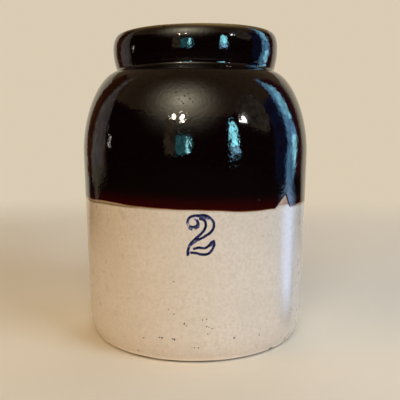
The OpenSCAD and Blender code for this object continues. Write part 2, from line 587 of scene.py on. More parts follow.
class MaterialSheet(NodeSheet):
    """A sheet on a new material."""

    def __init__(self, name: str) -> None:
        """Makes the material.

        Args:
            name: Name of the material.
        """
        self.material = bpy.data.materials.new(name)
        self.material.use_nodes = True
        super().__init__(self.material.node_tree)
        self.tree.nodes.clear()

    def shade(self, inputs: dict) -> bpy.types.Material:
        """Ends the material in one surface shader.

        Args:
            inputs: Values or sockets of the shader.

        Returns:
            The finished material.
        """
        return self.end(self.place("ShaderNodeBsdfPrincipled", inputs).outputs[0])

    def light(self, colour: Colour, strength: object) -> Socket:
        """Shader of a light of the surface's own."""
        inputs = {"Color": opaque(colour), "Strength": strength}
        return self.place("ShaderNodeEmission", inputs).outputs[0]

    def end(self, surface: Socket) -> bpy.types.Material:
        """The material, ended in a shader."""
        self.place("ShaderNodeOutputMaterial", {"Surface": surface})
        return self.material


def opaque(colour: object) -> object:
    """A colour with full alpha, or a socket as it is."""
    return (*colour, 1.0) if isinstance(colour, tuple) else colour


@dataclass(frozen=True)
class Pit:
    """A small pit in a glaze, with its height and radius in millimetres."""

    azimuth: float
    height: float
    radius: float


@dataclass(frozen=True)
class WhiteBody:
    """Colours of the white glaze, which the print shares where its ink is thin."""

    cream: Colour = (0.715, 0.61, 0.50)
    buff: Colour = (0.605, 0.50, 0.40)
    speck: Colour = (0.20, 0.11, 0.05)
    # The pits' near-black colour is partly their own and partly painted shade inside them.
    pit: Colour = (0.03, 0.017, 0.01)
    # The paler foot is partly thin glaze and partly painted bounce light from the floor.
    thin_foot_and_bounce: Colour = (0.90, 0.77, 0.66)
    thin_foot_and_bounce_range: Range = (7 * MM, 2 * MM)
    cloud_range: Range = (0.45, 1.0)
    streak_stretch: Place = (1.0, 1.0, 6.0)
    streak_scale: float = 90.0
    streak_detail: float = 4.0
    streak_range: Range = (0.45, 0.8)
    streak_share: float = 0.5
    fleck_share: float = 0.4
    pits: tuple[Pit, ...] = (
        Pit(-16.7, 24.2, 0.9),
        Pit(-15.5, 24.0, 1.1),
        Pit(-9.7, 23.5, 1.3),
        Pit(-10.6, 24.0, 0.8),
        Pit(-5.1, 37.7, 1.1),
        Pit(-4.2, 35.9, 0.8),
        Pit(3.1, 41.1, 0.8),
        Pit(4.9, 41.6, 0.8),
        Pit(4.9, 35.3, 0.9),
        Pit(6.0, 34.4, 0.7),
        Pit(7.4, 33.4, 0.8),
        Pit(5.4, 28.6, 0.7),
        Pit(-9.8, 45.8, 0.8),
        Pit(-9.7, 74.2, 0.8),
        Pit(-12.3, 49.6, 0.7),
        Pit(-0.6, 16.4, 0.8),
        Pit(1.2, 16.2, 0.9),
        Pit(-24.8, 21.7, 0.9),
        Pit(-29.1, 7.9, 1.1),
        Pit(17.9, 23.3, 1.3),
        Pit(31.3, 21.9, 1.0),
        Pit(53.4, 6.4, 1.4),
        Pit(52.6, 7.6, 1.1),
        Pit(51.2, 132.2, 0.7),
        Pit(139.0, 61.0, 0.8),
        Pit(-118.0, 44.0, 0.7),
        Pit(-163.0, 88.0, 0.6),
    )


class SharedEffects:
    """Shader groups that more than one finish uses."""

    speck_sizes: ClassVar[Range] = (0.5, 1.0)
    speck_core: ClassVar[float] = 0.5
    spot_core: ClassVar[float] = 0.4
    waver: ClassVar[float] = 2.5
    waver_scale: ClassVar[float] = 30.0
    ring_range: ClassVar[Range] = (0.25, 0.75)

    def __init__(self, form: JarForm, white: WhiteBody) -> None:
        """Builds each group once.

        Args:
            form: Turned form of the jar.
            white: Colours of the white glaze.
        """
        self.form = form
        self.white = white
        self.mottle = self.new_group("mottle", ("Scale", "Low", "High"), self.draw_mottle)
        self.specks = self.new_group("specks", ("Scale", "Share", "Size"), self.draw_specks)
        self.ripple = self.new_group("ripple", ("Broad", "Fine", "Grain"), self.draw_ripple)
        self.rings = self.new_group("rings", ("Pitch",), self.draw_rings)
        self.spot = self.new_group("spot", ("X", "Y", "Z", "Radius"), self.draw_spot)
        self.white_colour = self.new_group("white_colour", (), self.draw_white, Plug.COLOUR)

    @staticmethod
    def new_group(name: str, inputs: tuple[str, ...], draw: Callable[[NodeSheet, Sockets], Socket],
                  output: Plug = Plug.VALUE) -> bpy.types.NodeTree:
        """Makes a group with named values in and one value or colour out.

        Args:
            name: Name of the group.
            inputs: Names of its inputs, which each finish gives its own values.
            draw: Draws the group's nodes and returns the socket to put out.
            output: Kind of the output.

        Returns:
            The group's node tree.
        """
        tree = bpy.data.node_groups.new(name, "ShaderNodeTree")
        for label in inputs:
            tree.interface.new_socket(name=label, in_out="INPUT", socket_type=Plug.VALUE.value)
        tree.interface.new_socket(name="Amount", in_out="OUTPUT", socket_type=output.value)
        sheet = NodeSheet(tree)
        given = sheet.place("NodeGroupInput").outputs
        sheet.place("NodeGroupOutput", {0: draw(sheet, given)})
        return tree

    @staticmethod
    def draw_mottle(sheet: NodeSheet, given: Sockets) -> Socket:
        """Cloudy patches between two levels of noise."""
        clouds = sheet.noise(given["Scale"], detail=4.0, rough=0.6)
        return sheet.eased(clouds, given["Low"], given["High"])

    def draw_specks(self, sheet: NodeSheet, given: Sockets) -> Socket:
        """Draws round specks in a share of the cells of a cellular pattern.

        Args:
            sheet: Sheet of the group.
            given: Inputs of the group.

        Returns:
            1 in the middle of a speck and 0 outside it.
        """
        inputs = {"Vector": sheet.own_place(), "Scale": given["Scale"]}
        cells = sheet.place("ShaderNodeTexVoronoi", inputs)
        pick = sheet.place("ShaderNodeSeparateColor", {0: cells.outputs["Color"]})
        chosen = sheet.sums(Sum.LESS_THAN, pick.outputs[0], given["Share"])
        size = sheet.sums(Sum.MULTIPLY, given["Size"], sheet.between(pick.outputs[1], *self.speck_sizes))
        core = sheet.sums(Sum.MULTIPLY, size, self.speck_core)
        away = sheet.eased(cells.outputs["Distance"], core, size)
        return sheet.sums(Sum.MULTIPLY, chosen, sheet.sums(Sum.SUBTRACT, 1.0, away))

    @staticmethod
    def draw_ripple(sheet: NodeSheet, given: Sockets) -> Socket:
        """Broad ripples with a share of fine grain."""
        grain = sheet.sums(Sum.MULTIPLY, sheet.noise(given["Fine"], detail=2.0), given["Grain"])
        return sheet.sums(Sum.ADD, sheet.noise(given["Broad"], detail=2.0), grain)

    def draw_rings(self, sheet: NodeSheet, given: Sockets) -> Socket:
        """Draws level turning marks, one every pitch, that waver a little.

        Args:
            sheet: Sheet of the group.
            given: Inputs of the group.

        Returns:
            A value that rises and falls with height.
        """
        turns = sheet.sums(Sum.DIVIDE, sheet.axes()["Z"], given["Pitch"])
        waver = sheet.sums(Sum.MULTIPLY, sheet.noise(self.waver_scale, detail=2.0), self.waver)
        angle = sheet.sums(Sum.MULTIPLY, sheet.sums(Sum.ADD, turns, waver), 2 * math.pi)
        return sheet.between(sheet.sums(Sum.SINE, angle), *self.ring_range)

    def draw_spot(self, sheet: NodeSheet, given: Sockets) -> Socket:
        """Draws one round spot about a place.

        Args:
            sheet: Sheet of the group.
            given: Inputs of the group.

        Returns:
            1 in the middle of the spot and 0 outside it.
        """
        place = sheet.place("ShaderNodeCombineXYZ", {axis: given[axis] for axis in "XYZ"}).outputs[0]
        inputs = {0: sheet.own_place(), 1: place}
        away = sheet.place("ShaderNodeVectorMath", inputs, operation="DISTANCE").outputs["Value"]
        core = sheet.sums(Sum.MULTIPLY, given["Radius"], self.spot_core)
        return sheet.eased(away, given["Radius"], core)

    def spots(self, sheet: NodeSheet, surface: TurnedLine, pits: tuple[Pit, ...]) -> Socket:
        """Draws several spots on a turned surface.

        Args:
            sheet: Sheet to draw on.
            surface: Surface that carries the spots.
            pits: Where the spots are.

        Returns:
            1 in the middle of a spot and 0 away from them.
        """
        found = 0.0
        for pit in pits:
            radius, height = surface.at(surface.way_at(np.array(pit.height * MM)), np.array(0.0))
            turn = math.radians(pit.azimuth)
            place = {"x": radius * math.sin(turn), "y": -radius * math.cos(turn), "z": height}
            found = sheet.sums(Sum.MAXIMUM, found, sheet.shared(self.spot, radius=pit.radius * MM, **place))
        return found

    def draw_white(self, sheet: NodeSheet, _given: Sockets) -> Socket:
        """Draws the white glaze's colour: clouds, fine grain, level streaks, brown specks and a paler foot,
        partly thin glaze and partly painted bounce light.

        Args:
            sheet: Sheet of the group.
            _given: Inputs of the group, which has none.

        Returns:
            The colour.
        """
        white = self.white
        clouds = sheet.shared(self.mottle, scale=26.0, low=0.2, high=0.8)
        colour = sheet.blend(sheet.between(clouds, *white.cloud_range), white.buff, white.cream)
        grain = sheet.shared(self.mottle, scale=360.0, low=0.35, high=0.7)
        colour = sheet.blend(grain, colour, white.buff)
        inputs = {0: sheet.own_place(), 1: white.streak_stretch}
        level = sheet.place("ShaderNodeVectorMath", inputs, operation="MULTIPLY").outputs[0]
        inputs = {"Vector": level, "Scale": white.streak_scale, "Detail": white.streak_detail}
        streak = sheet.eased(sheet.place("ShaderNodeTexNoise", inputs).outputs[0], *white.streak_range)
        colour = sheet.blend(sheet.sums(Sum.MULTIPLY, streak, white.streak_share), colour, white.buff)
        crowd = sheet.shared(self.mottle, scale=22.0, low=0.35, high=0.7)
        fleck = sheet.shared(self.specks, scale=480.0, share=0.2, size=0.15)
        fleck = sheet.sums(Sum.MULTIPLY, fleck, white.fleck_share)
        colour = sheet.blend(sheet.sums(Sum.MULTIPLY, fleck, crowd), colour, white.speck)
        # Painted bounce light, with thin glaze: the white turns paler towards the foot.
        thin_foot_and_bounce = sheet.eased(sheet.axes()["Z"], *white.thin_foot_and_bounce_range)
        return sheet.blend(thin_foot_and_bounce, colour, white.thin_foot_and_bounce)


@dataclass(frozen=True)
class WhiteFinish:
    """Satin off-white glaze."""

    stain: Colour = (0.19, 0.135, 0.05)
    gloss: Range = (0.26, 0.40)
    coat: float = 0.8
    coat_rough: float = 0.1
    pit_share: float = 1.5
    depth: float = 0.16 * MM

    def material(self, effects: SharedEffects) -> bpy.types.Material:
        """Draws the finish.

        Args:
            effects: Shared shader groups.

        Returns:
            The material.
        """
        sheet = MaterialSheet("white_glaze_finish")
        colour = sheet.blend(sheet.mask(Mask.STAIN), sheet.shared(effects.white_colour), self.stain)
        skin = effects.form.lower_line().moved_out(effects.form.white_t)
        pits = effects.spots(sheet, skin, effects.white.pits)
        # Pits darken the white: partly their own colour, partly painted shade inside them.
        colour = sheet.blend(pits, colour, effects.white.pit)
        rough = sheet.between(sheet.shared(effects.mottle, scale=130.0, low=0.3, high=0.7), *self.gloss)
        uneven = sheet.shared(effects.ripple, broad=70.0, fine=520.0, grain=0.15)
        dented = sheet.sums(Sum.SUBTRACT, uneven, sheet.sums(Sum.MULTIPLY, pits, self.pit_share))
        return sheet.shade({
            "Base Color": colour,
            "Roughness": rough,
            "Coat Weight": self.coat,
            "Coat Roughness": self.coat_rough,
            "Normal": sheet.bump(dented, self.depth),
        })


@dataclass(frozen=True)
class BrownFinish:
    """Very glossy brown slip, near black where it is thick, and amber to tan where it runs thin."""

    thick: Colour = (0.0025, 0.0007, 0.0008)
    red: Colour = (0.027, 0.0009, 0.0006)
    amber: Colour = (0.22, 0.065, 0.014)
    tan: Colour = (0.37, 0.28, 0.175)
    olive: Colour = (0.21, 0.14, 0.05)
    broken: Colour = (0.008, 0.004, 0.003)
    gloss: Range = (0.03, 0.06)
    dull: float = 0.15
    red_range: Range = (14 * MM, -2 * MM)
    red_patches: Range = (0.7, 1.0)
    amber_range: Range = (0.0, 0.5)
    tan_range: Range = (0.5, 0.9)
    break_range: Range = (0.3, 0.6)
    depth: float = 0.3 * MM
    blisters: tuple[Pit, ...] = (
        Pit(-7.1, 199.6, 1.0),
        Pit(-2.6, 199.6, 0.8),
        Pit(17.5, 186.3, 1.0),
        Pit(18.8, 179.6, 0.9),
        Pit(16.5, 176.0, 0.8),
        Pit(-7.6, 225.0, 0.9),
        Pit(-4.9, 227.5, 0.7),
        Pit(-2.4, 225.0, 0.8),
        Pit(-9.2, 230.6, 0.8),
        Pit(-5.4, 221.4, 0.8),
        Pit(-3.4, 229.5, 0.6),
        Pit(-6.3, 223.1, 0.6),
        Pit(-1.2, 222.6, 0.6),
        Pit(152.0, 214.0, 0.9),
        Pit(-133.0, 188.0, 0.8),
    )

    @staticmethod
    def above_dip(sheet: NodeSheet, form: JarForm) -> Socket:
        """Measures the height above the slanted dip line.

        Args:
            sheet: Sheet of the material.
            form: Turned form of the jar.

        Returns:
            The height in metres.
        """
        place = sheet.axes()
        slant = sheet.sums(Sum.MULTIPLY, place["X"], form.dip_slope)
        return sheet.sums(Sum.SUBTRACT, sheet.sums(Sum.ADD, place["Z"], slant), form.dip_z)

    def material(self, effects: SharedEffects) -> bpy.types.Material:
        """Draws the finish.

        Args:
            effects: Shared shader groups.

        Returns:
            The material.
        """
        sheet = MaterialSheet("brown_slip_finish")
        patches = sheet.shared(effects.mottle, scale=34.0, low=0.2, high=0.8)
        low = sheet.eased(self.above_dip(sheet, effects.form), *self.red_range)
        low = sheet.sums(Sum.MULTIPLY, low, sheet.between(patches, *self.red_patches))
        colour = sheet.blend(low, self.thick, self.red)
        thin = sheet.mask(Mask.THIN)
        colour = sheet.blend(sheet.eased(thin, *self.amber_range), colour, self.amber)
        colour = sheet.blend(sheet.eased(thin, *self.tan_range), colour, self.tan)
        colour = sheet.blend(sheet.mask(Mask.CREST), colour, self.olive)
        worn = sheet.eased(sheet.mask(Mask.BREAK), *self.break_range)
        colour = sheet.blend(worn, colour, self.broken)
        pinholes = sheet.shared(effects.specks, scale=150.0, share=0.10, size=0.075)
        skin = effects.form.upper_line(effects.form.slip_t)
        pinholes = sheet.sums(Sum.MAXIMUM, pinholes, effects.spots(sheet, skin, self.blisters))
        rough = sheet.between(sheet.sums(Sum.MAXIMUM, pinholes, patches), *self.gloss)
        rough = sheet.sums(Sum.MAXIMUM, rough, sheet.sums(Sum.MULTIPLY, worn, self.dull))
        uneven = sheet.shared(effects.ripple, broad=32.0, fine=320.0, grain=0.36)
        dented = sheet.sums(Sum.SUBTRACT, uneven, pinholes)
        return sheet.shade({
            "Base Color": colour,
            "Roughness": rough,
            "Normal": sheet.bump(dented, self.depth),
        })


@dataclass(frozen=True)
class LiningFinish:
    """Brown slip inside the jar, lighter on the crests of the throwing rings."""

    slip: Colour = (0.035, 0.012, 0.006)
    thin: Colour = (0.085, 0.034, 0.014)
    gloss: Range = (0.12, 0.24)
    ring_pitch: float = 3.1 * MM
    depth: float = 0.12 * MM

    def material(self, effects: SharedEffects) -> bpy.types.Material:
        """Draws the finish.

        Args:
            effects: Shared shader groups.

        Returns:
            The material.
        """
        sheet = MaterialSheet("lining_slip_finish")
        patches = sheet.shared(effects.mottle, scale=45.0, low=0.35, high=0.7)
        crests = sheet.sums(Sum.MULTIPLY, sheet.mask(Mask.THIN), patches)
        rings = sheet.shared(effects.rings, pitch=self.ring_pitch)
        return sheet.shade({
            "Base Color": sheet.blend(crests, self.slip, self.thin),
            "Roughness": sheet.between(patches, *self.gloss),
            "Normal": sheet.bump(rings, self.depth),
        })


@dataclass(frozen=True)
class ClayFinish:
    """Matt, unglazed buff stoneware with iron specks and turning marks, and painted contact shade at the
    foot.
    """

    buff: Colour = (0.48, 0.32, 0.235)
    tan: Colour = (0.35, 0.22, 0.155)
    iron: Colour = (0.10, 0.055, 0.03)
    # The dark foot colour is painted contact shade, not a colour of the clay.
    foot_shade: Colour = (0.055, 0.024, 0.009)
    foot_shade_range: Range = (4 * MM, 2.2 * MM)
    foot_shade_patches: Range = (0.8, 1.0)
    gloss: Range = (0.8, 0.92)
    mark_pitch: float = 2.3 * MM
    mark_share: float = 0.6
    depth: float = 0.2 * MM

    def material(self, effects: SharedEffects) -> bpy.types.Material:
        """Draws the finish.

        Args:
            effects: Shared shader groups.

        Returns:
            The material.
        """
        sheet = MaterialSheet("bare_clay_finish")
        patches = sheet.shared(effects.mottle, scale=150.0, low=0.35, high=0.7)
        colour = sheet.blend(patches, self.buff, self.tan)
        specks = sheet.shared(effects.specks, scale=420.0, share=0.12, size=0.22)
        colour = sheet.blend(specks, colour, self.iron)
        # Painted contact shade: the clay darkens in patches just above the floor.
        low = sheet.eased(sheet.axes()["Z"], *self.foot_shade_range)
        shaded_foot = sheet.sums(Sum.MULTIPLY, low, sheet.between(patches, *self.foot_shade_patches))
        colour = sheet.blend(shaded_foot, colour, self.foot_shade)
        grain = sheet.shared(effects.ripple, broad=260.0, fine=1500.0, grain=0.7)
        marks = sheet.shared(effects.rings, pitch=self.mark_pitch)
        marks = sheet.sums(Sum.MULTIPLY, marks, self.mark_share)
        return sheet.shade({
            "Base Color": colour,
            "Roughness": sheet.between(patches, *self.gloss),
            "Normal": sheet.bump(sheet.sums(Sum.ADD, grain, marks), self.depth),
        })


@dataclass(frozen=True)
class InkFinish:
    """Cobalt blue print that lets the white glaze through where it is thin."""

    cobalt: Colour = (0.002, 0.003, 0.022)
    washed: Colour = (0.014, 0.017, 0.11)
    thin: Colour = (0.16, 0.17, 0.29)
    gloss: Range = (0.26, 0.36)
    specular: float = 0.25
    thin_range: Range = (0.0, 0.5)
    full_range: Range = (0.3, 0.9)
    depth: float = 0.1 * MM

    def material(self, effects: SharedEffects) -> bpy.types.Material:
        """Draws the finish.

        Args:
            effects: Shared shader groups.

        Returns:
            The material.
        """
        sheet = MaterialSheet("blue_ink_finish")
        patches = sheet.shared(effects.mottle, scale=420.0, low=0.4, high=0.75)
        blue = sheet.blend(patches, self.cobalt, self.washed)
        ink = sheet.mask(Mask.INK)
        thin = sheet.eased(ink, *self.thin_range)
        colour = sheet.blend(thin, sheet.shared(effects.white_colour), self.thin)
        colour = sheet.blend(sheet.eased(ink, *self.full_range), colour, blue)
        uneven = sheet.shared(effects.ripple, broad=70.0, fine=800.0, grain=0.16)
        return sheet.shade({
            "Base Color": colour,
            "Roughness": sheet.between(patches, *self.gloss),
            "Specular IOR Level": self.specular,
            "Normal": sheet.bump(uneven, self.depth),
        })


@dataclass(frozen=True)
class Sag:
    """A stretch where the dip line hangs low."""

    azimuth: float
    width: float
    depth: float


@dataclass(frozen=True)
class DipLine:
    """The slanted, slightly wavy line where the brown slip ends on the white glaze."""

    form: JarForm
    ripple: float = 0.12 * MM
    ripples: tuple[Wave, ...] = (Wave(13, 0.4), Wave(29, 2.0, 0.6))
    sags: tuple[Sag, ...] = (
        Sag(24, 12, 1.15 * MM),
        Sag(-60, 9, 1.2 * MM),
        Sag(112, 18, 0.9 * MM),
        Sag(168, 14, 0.7 * MM),
        Sag(-128, 16, 1.0 * MM),
    )

    def height(self, azimuth: Array) -> Array:
        """Finds the line round the jar.

        Args:
            azimuth: Directions in degrees.

        Returns:
            Height of the line in each direction.
        """
        turn = np.radians(azimuth)
        level = self.form.dip_z - self.form.dip_slope * self.form.body_r * np.sin(turn)
        for sag in self.sags:
            level = level - sag.depth * hill(turned_apart(azimuth, sag.azimuth), sag.width)
        return level + self.ripple * summed(self.ripples, turn)


@dataclass(frozen=True)
class Flake:
    """A piece of brown glaze that has broken away from the dip line."""

    azimuth: float = 45.0
    width: float = 21 * MM
    height: float = 12 * MM
    across: tuple[float, ...] = (-0.53, -0.2, 0.14, 0.3, 0.47)
    upward: tuple[float, ...] = (0.0, 0.5, 1.0, 0.52, 0.0)
    raggedness: float = 0.3 * MM
    ragged_full: float = 2 * MM
    ragged_waves: tuple[Wave, ...] = (Wave(61), Wave(97, 1.0, 0.7))

    def depth(self, azimuth: Array, radius: float) -> Array:
        """Finds how far the break reaches above the dip line.

        Args:
            azimuth: Directions in degrees.
            radius: Radius of the wall there.

        Returns:
            Height of the break in each direction, 0 where the glaze is whole.
        """
        along = np.radians(turned_apart(azimuth, self.azimuth)) * radius / self.width
        reach = self.height * np.interp(along, self.across, self.upward)
        ragged = self.raggedness * summed(self.ragged_waves, along)
        return np.maximum(reach + ragged * ease(0.0, self.ragged_full, reach), 0.0)


@dataclass(frozen=True)
class Chip:
    """A small loss from the lower edge of the white glaze."""

    azimuth: float
    width: float
    height: float


class JarPiece:
    """A piece modelled in place of one CAD node."""

    name: ClassVar[str]
    node: ClassVar[str]
    slot: ClassVar[Slot]
    finish: WhiteFinish | BrownFinish | LiningFinish | InkFinish

    def build(self) -> bpy.types.Object:
        """Models the piece."""
        raise NotImplementedError

    def dress(self, piece: bpy.types.Object, effects: SharedEffects) -> None:
        """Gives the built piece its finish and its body.

        Args:
            piece: The piece's object.
            effects: Shared shader groups.
        """
        piece.data.materials.append(self.finish.material(effects))
        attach(piece, BODY)
        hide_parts(self.node)


@dataclass(frozen=True)
class BrownCoat(JarPiece):
    """The dipped brown slip, from the dip line over the shoulder and the rim into the mouth."""

    name: ClassVar[str] = "brown_glaze_coat"
    node: ClassVar[str] = "brown_glaze"
    slot: ClassVar[Slot] = Slot.BROWN
    form: JarForm
    dip: DipLine
    flake: Flake
    finish: BrownFinish = BrownFinish()
    columns: int = 300
    edge_rows: int = 34
    edge_crowding: float = 2.2
    edge_zone: float = 26 * MM
    shoulder_rows: int = 50
    groove_rows: int = 22
    groove_zone: float = 8 * MM
    rim_rows: int = 52
    inner_rows: int = 42
    inner_crowding: float = 1.5
    overhang: float = 0.5 * MM
    overhang_gap: float = 0.1 * MM
    bead_r: float = 0.35 * MM
    bead_proud: float = 0.06 * MM
    bead_up: float = 1.8 * MM
    bead_w: float = 2.2 * MM
    flake_span: float = 8.0
    flake_step: float = 0.14
    flake_sides: Range = (0.5, 1.5)
    snap_w: float = 0.15 * MM
    snap_least: float = 0.1
    sink_left: float = -0.16
    sink_right: float = 0.15
    break_w: float = 1.6 * MM
    break_full: float = 0.3 * MM
    dull_left: float = 3.2 * MM
    dull_right: float = 0.2 * MM
    dull_fade: float = 0.75
    thin_front: float = 0.8 * MM
    thin_sides: float = 2.1 * MM
    thin_left: Range = (22.0, 45.0)
    thin_right: Range = (50.0, 62.0)
    thin_least: float = 0.5
    thin_fade: float = 0.65
    crest_thin_w: float = 2.1 * MM
    crest_thin_down: float = 2.4 * MM
    crest_thin_share: float = 0.66
    crest_thin_waves: tuple[Wave, ...] = (Wave(3, 1.1, 0.2), Wave(7, 0.2, 0.14))
    rim_low: float = -0.6 * MM
    rim_high: float = 2.4 * MM
    rim_turn: float = 25.0
    rim_swell: float = 1.2
    nick_azimuth: float = -20.5
    nick_span: float = 3.0
    nick_step: float = 0.3
    nick_w: float = 2.2 * MM
    nick_tall: float = 1.0 * MM
    nick_down: float = 4.5 * MM
    nick_depth: float = 0.5 * MM

    def right_of_flake(self, azimuth: Array) -> Array:
        """0 to the left of the flake's tip and 1 to the right of it."""
        return ease(*self.flake_sides, turned_apart(azimuth, self.flake.azimuth))

    def skin(self, past_edge: Array, azimuth: Array, broken: Array) -> Array:
        """Shapes the lower edge.

        Args:
            past_edge: Distance up from the edge.
            azimuth: Directions in degrees.
            broken: 1 where the edge is a break, 0 where it is a fired bead.

        Returns:
            Height of the coat over the clay.
        """
        lip = self.form.white_t + 2 * CLEARANCE
        inwards = 1 - np.clip(past_edge / self.bead_r, 0.0, 1.0)
        bead = self.bead_proud * hill(past_edge - self.bead_up, self.bead_w)
        fired = lip + (self.form.slip_t - lip) * np.sqrt(1 - inwards**2) + bead * (1 - inwards)
        sink = self.sink_left + (self.sink_right - self.sink_left) * self.right_of_flake(azimuth)
        sunk = 1 - sink * (1 - ease(0.0, self.break_w, past_edge))
        snapped = self.form.slip_t * sunk * np.clip(past_edge / self.snap_w, self.snap_least, 1.0)
        return fired * (1 - broken) + snapped * broken

    def rows(self, outer: TurnedLine, edge: Array) -> Array:
        """Spreads rows up the outside, closer at the lower edge and in the groove under the rim.

        Args:
            outer: Outside of the coat.
            edge: Way along the outside to the lower edge, one row per direction.

        Returns:
            Ways along the outside, as columns and rows.
        """
        low_end = float(outer.way_at(self.form.dip_z + self.edge_zone))
        groove = float(outer.way_at(self.form.neck_z + self.form.slip_t))
        spread = np.linspace(0.0, 1.0, self.edge_rows)[None, :] ** self.edge_crowding
        low = edge + (low_end - edge) * spread
        under_groove = groove - self.groove_zone
        over_groove = groove + self.groove_zone
        high = np.concatenate([
            np.linspace(low_end, under_groove, self.shoulder_rows)[1:],
            np.linspace(under_groove, over_groove, self.groove_rows)[1:],
            np.linspace(over_groove, outer.length, self.rim_rows)[1:],
        ])
        return np.concatenate([low, np.broadcast_to(high, (len(edge), len(high)))], axis=1)

    def build(self) -> bpy.types.Object:
        """Models the coat as one closed skin.

        Returns:
            The coat's object.
        """
        form = self.form
        at_flake = FineSpan(self.flake.azimuth, self.flake_span, self.flake_step)
        at_nick = FineSpan(self.nick_azimuth, self.nick_span, self.nick_step)
        azimuths = columns_round(self.columns, (at_flake, at_nick))
        outer = form.upper_line(form.slip_t)
        clay = form.upper_line(CLEARANCE)
        gap = self.flake.depth(azimuths, form.body_r)
        broken = ease(0.0, self.break_full, gap)
        edge_z = self.dip.height(azimuths) + gap - self.overhang * (1 - broken)
        edge = outer.way_at(edge_z)[:, None]
        way = self.rows(outer, edge)
        flat = outer.at(way, np.zeros_like(way))
        compass = np.broadcast_to(azimuths[:, None], way.shape)
        proud = self.skin(way - edge, compass, broken[:, None]) - form.slip_t
        proud = proud + form.unevenness(compass, flat[..., 1])
        crest_way = float(outer.way[outer.crest])
        nick = self.nick(compass, way - crest_way)
        proud = proud + self.rim_tilt(compass, way, outer) - self.nick_depth * nick
        outside = outer.at(way, proud)
        inside = self.inner_side(clay, edge_z, broken)
        sections = np.concatenate([outside, inside], axis=1)
        blank = np.zeros(inside.shape[:2])
        masks = {
            Mask.THIN: self.thin_edge(way - edge, compass, broken[:, None]),
            Mask.CREST: self.thin_top(way - crest_way, compass),
            Mask.BREAK: np.maximum(nick, self.dulled(way - edge, compass, broken[:, None])),
        }
        masks = {mask: np.concatenate([shown, blank], axis=1) for mask, shown in masks.items()}
        faces = ring_faces(*sections.shape[:2], closed=True)
        return mesh_piece(self.name, turn_sections(azimuths, sections), faces, masks)

    def nick(self, azimuth: Array, past_crest: Array) -> Array:
        """Small dent in the outer edge of the crest, 1 at its deepest."""
        along = np.radians(turned_apart(azimuth, self.nick_azimuth)) * self.form.crest_r
        return hill(along, self.nick_w) * hill(past_crest + self.nick_down, self.nick_tall)

    def rim_tilt(self, azimuth: Array, way: Array, outer: TurnedLine) -> Array:
        """Raises the crest at the right of the figure and lowers it a little at the left.

        Args:
            azimuth: Directions in degrees.
            way: Ways along the outside.
            outer: Outside of the coat.

        Returns:
            Rise of the outside.
        """
        crown = np.clip(outer.upward(way), 0.0, 1.0) * (way > float(outer.way_at(self.form.bulge_z)))
        share = ((1 + np.sin(np.radians(azimuth - self.rim_turn))) / 2) ** self.rim_swell
        return crown * (self.rim_low + (self.rim_high - self.rim_low) * share)

    def inner_side(self, clay: TurnedLine, edge_z: Array, broken: Array) -> Array:
        """Lays the hidden side on the clay, with a step where the bead overlaps the white glaze.

        Args:
            clay: Surface of the clay.
            edge_z: Height of the lower edge in each direction.
            broken: 1 where the edge is a break.

        Returns:
            Sections that run down the clay, to follow those of the outside.
        """
        edge = clay.way_at(edge_z)[:, None]
        down = np.linspace(1.0, 0.0, self.inner_rows)[None, :]
        past_step = edge + self.overhang + self.overhang_gap
        upper = past_step + (clay.length - past_step) * down**self.inner_crowding
        step_shares = np.array([1.0, 0.5, 0.0])
        step = edge + (self.overhang * step_shares)[None, :]
        way = np.concatenate([upper, step], axis=1)
        lift = np.zeros_like(way)
        lift[:, -len(step_shares):] = self.form.white_t * (1 - broken[:, None])
        return clay.at(way, lift)

    def thin_edge(self, past_edge: Array, azimuth: Array, broken: Array) -> Array:
        """Marks where the slip runs thin at its lower edge, further up at the sides than in front.

        Args:
            past_edge: Distance up from the edge.
            azimuth: Directions in degrees.
            broken: 1 where the edge is a break.

        Returns:
            1 where the slip is thinnest.
        """
        front = turned_apart(azimuth, 0.0)
        sides = np.maximum(ease(*self.thin_left, -front), ease(*self.thin_right, front))
        reach = self.thin_front + (self.thin_sides - self.thin_front) * sides
        strength = self.thin_least + (1 - self.thin_least) * sides
        return strength * (1 - ease(self.thin_fade * reach, reach, past_edge)) * (1 - broken)

    def thin_top(self, past_crest: Array, azimuth: Array) -> Array:
        """Patches along the crest where the slip is worn thin."""
        patchy = self.crest_thin_share + summed(self.crest_thin_waves, np.radians(azimuth))
        return patchy * hill(past_crest + self.crest_thin_down, self.crest_thin_w)

    def dulled(self, past_edge: Array, azimuth: Array, broken: Array) -> Array:
        """Marks the dull strip along the break, wide at its left and narrow at its right.

        Args:
            past_edge: Distance up from the edge.
            azimuth: Directions in degrees.
            broken: 1 where the edge is a break.

        Returns:
            1 where the glaze is dull.
        """
        reach = self.dull_left + (self.dull_right - self.dull_left) * self.right_of_flake(azimuth)
        return broken * (1 - ease(self.dull_fade * reach, reach, past_edge))


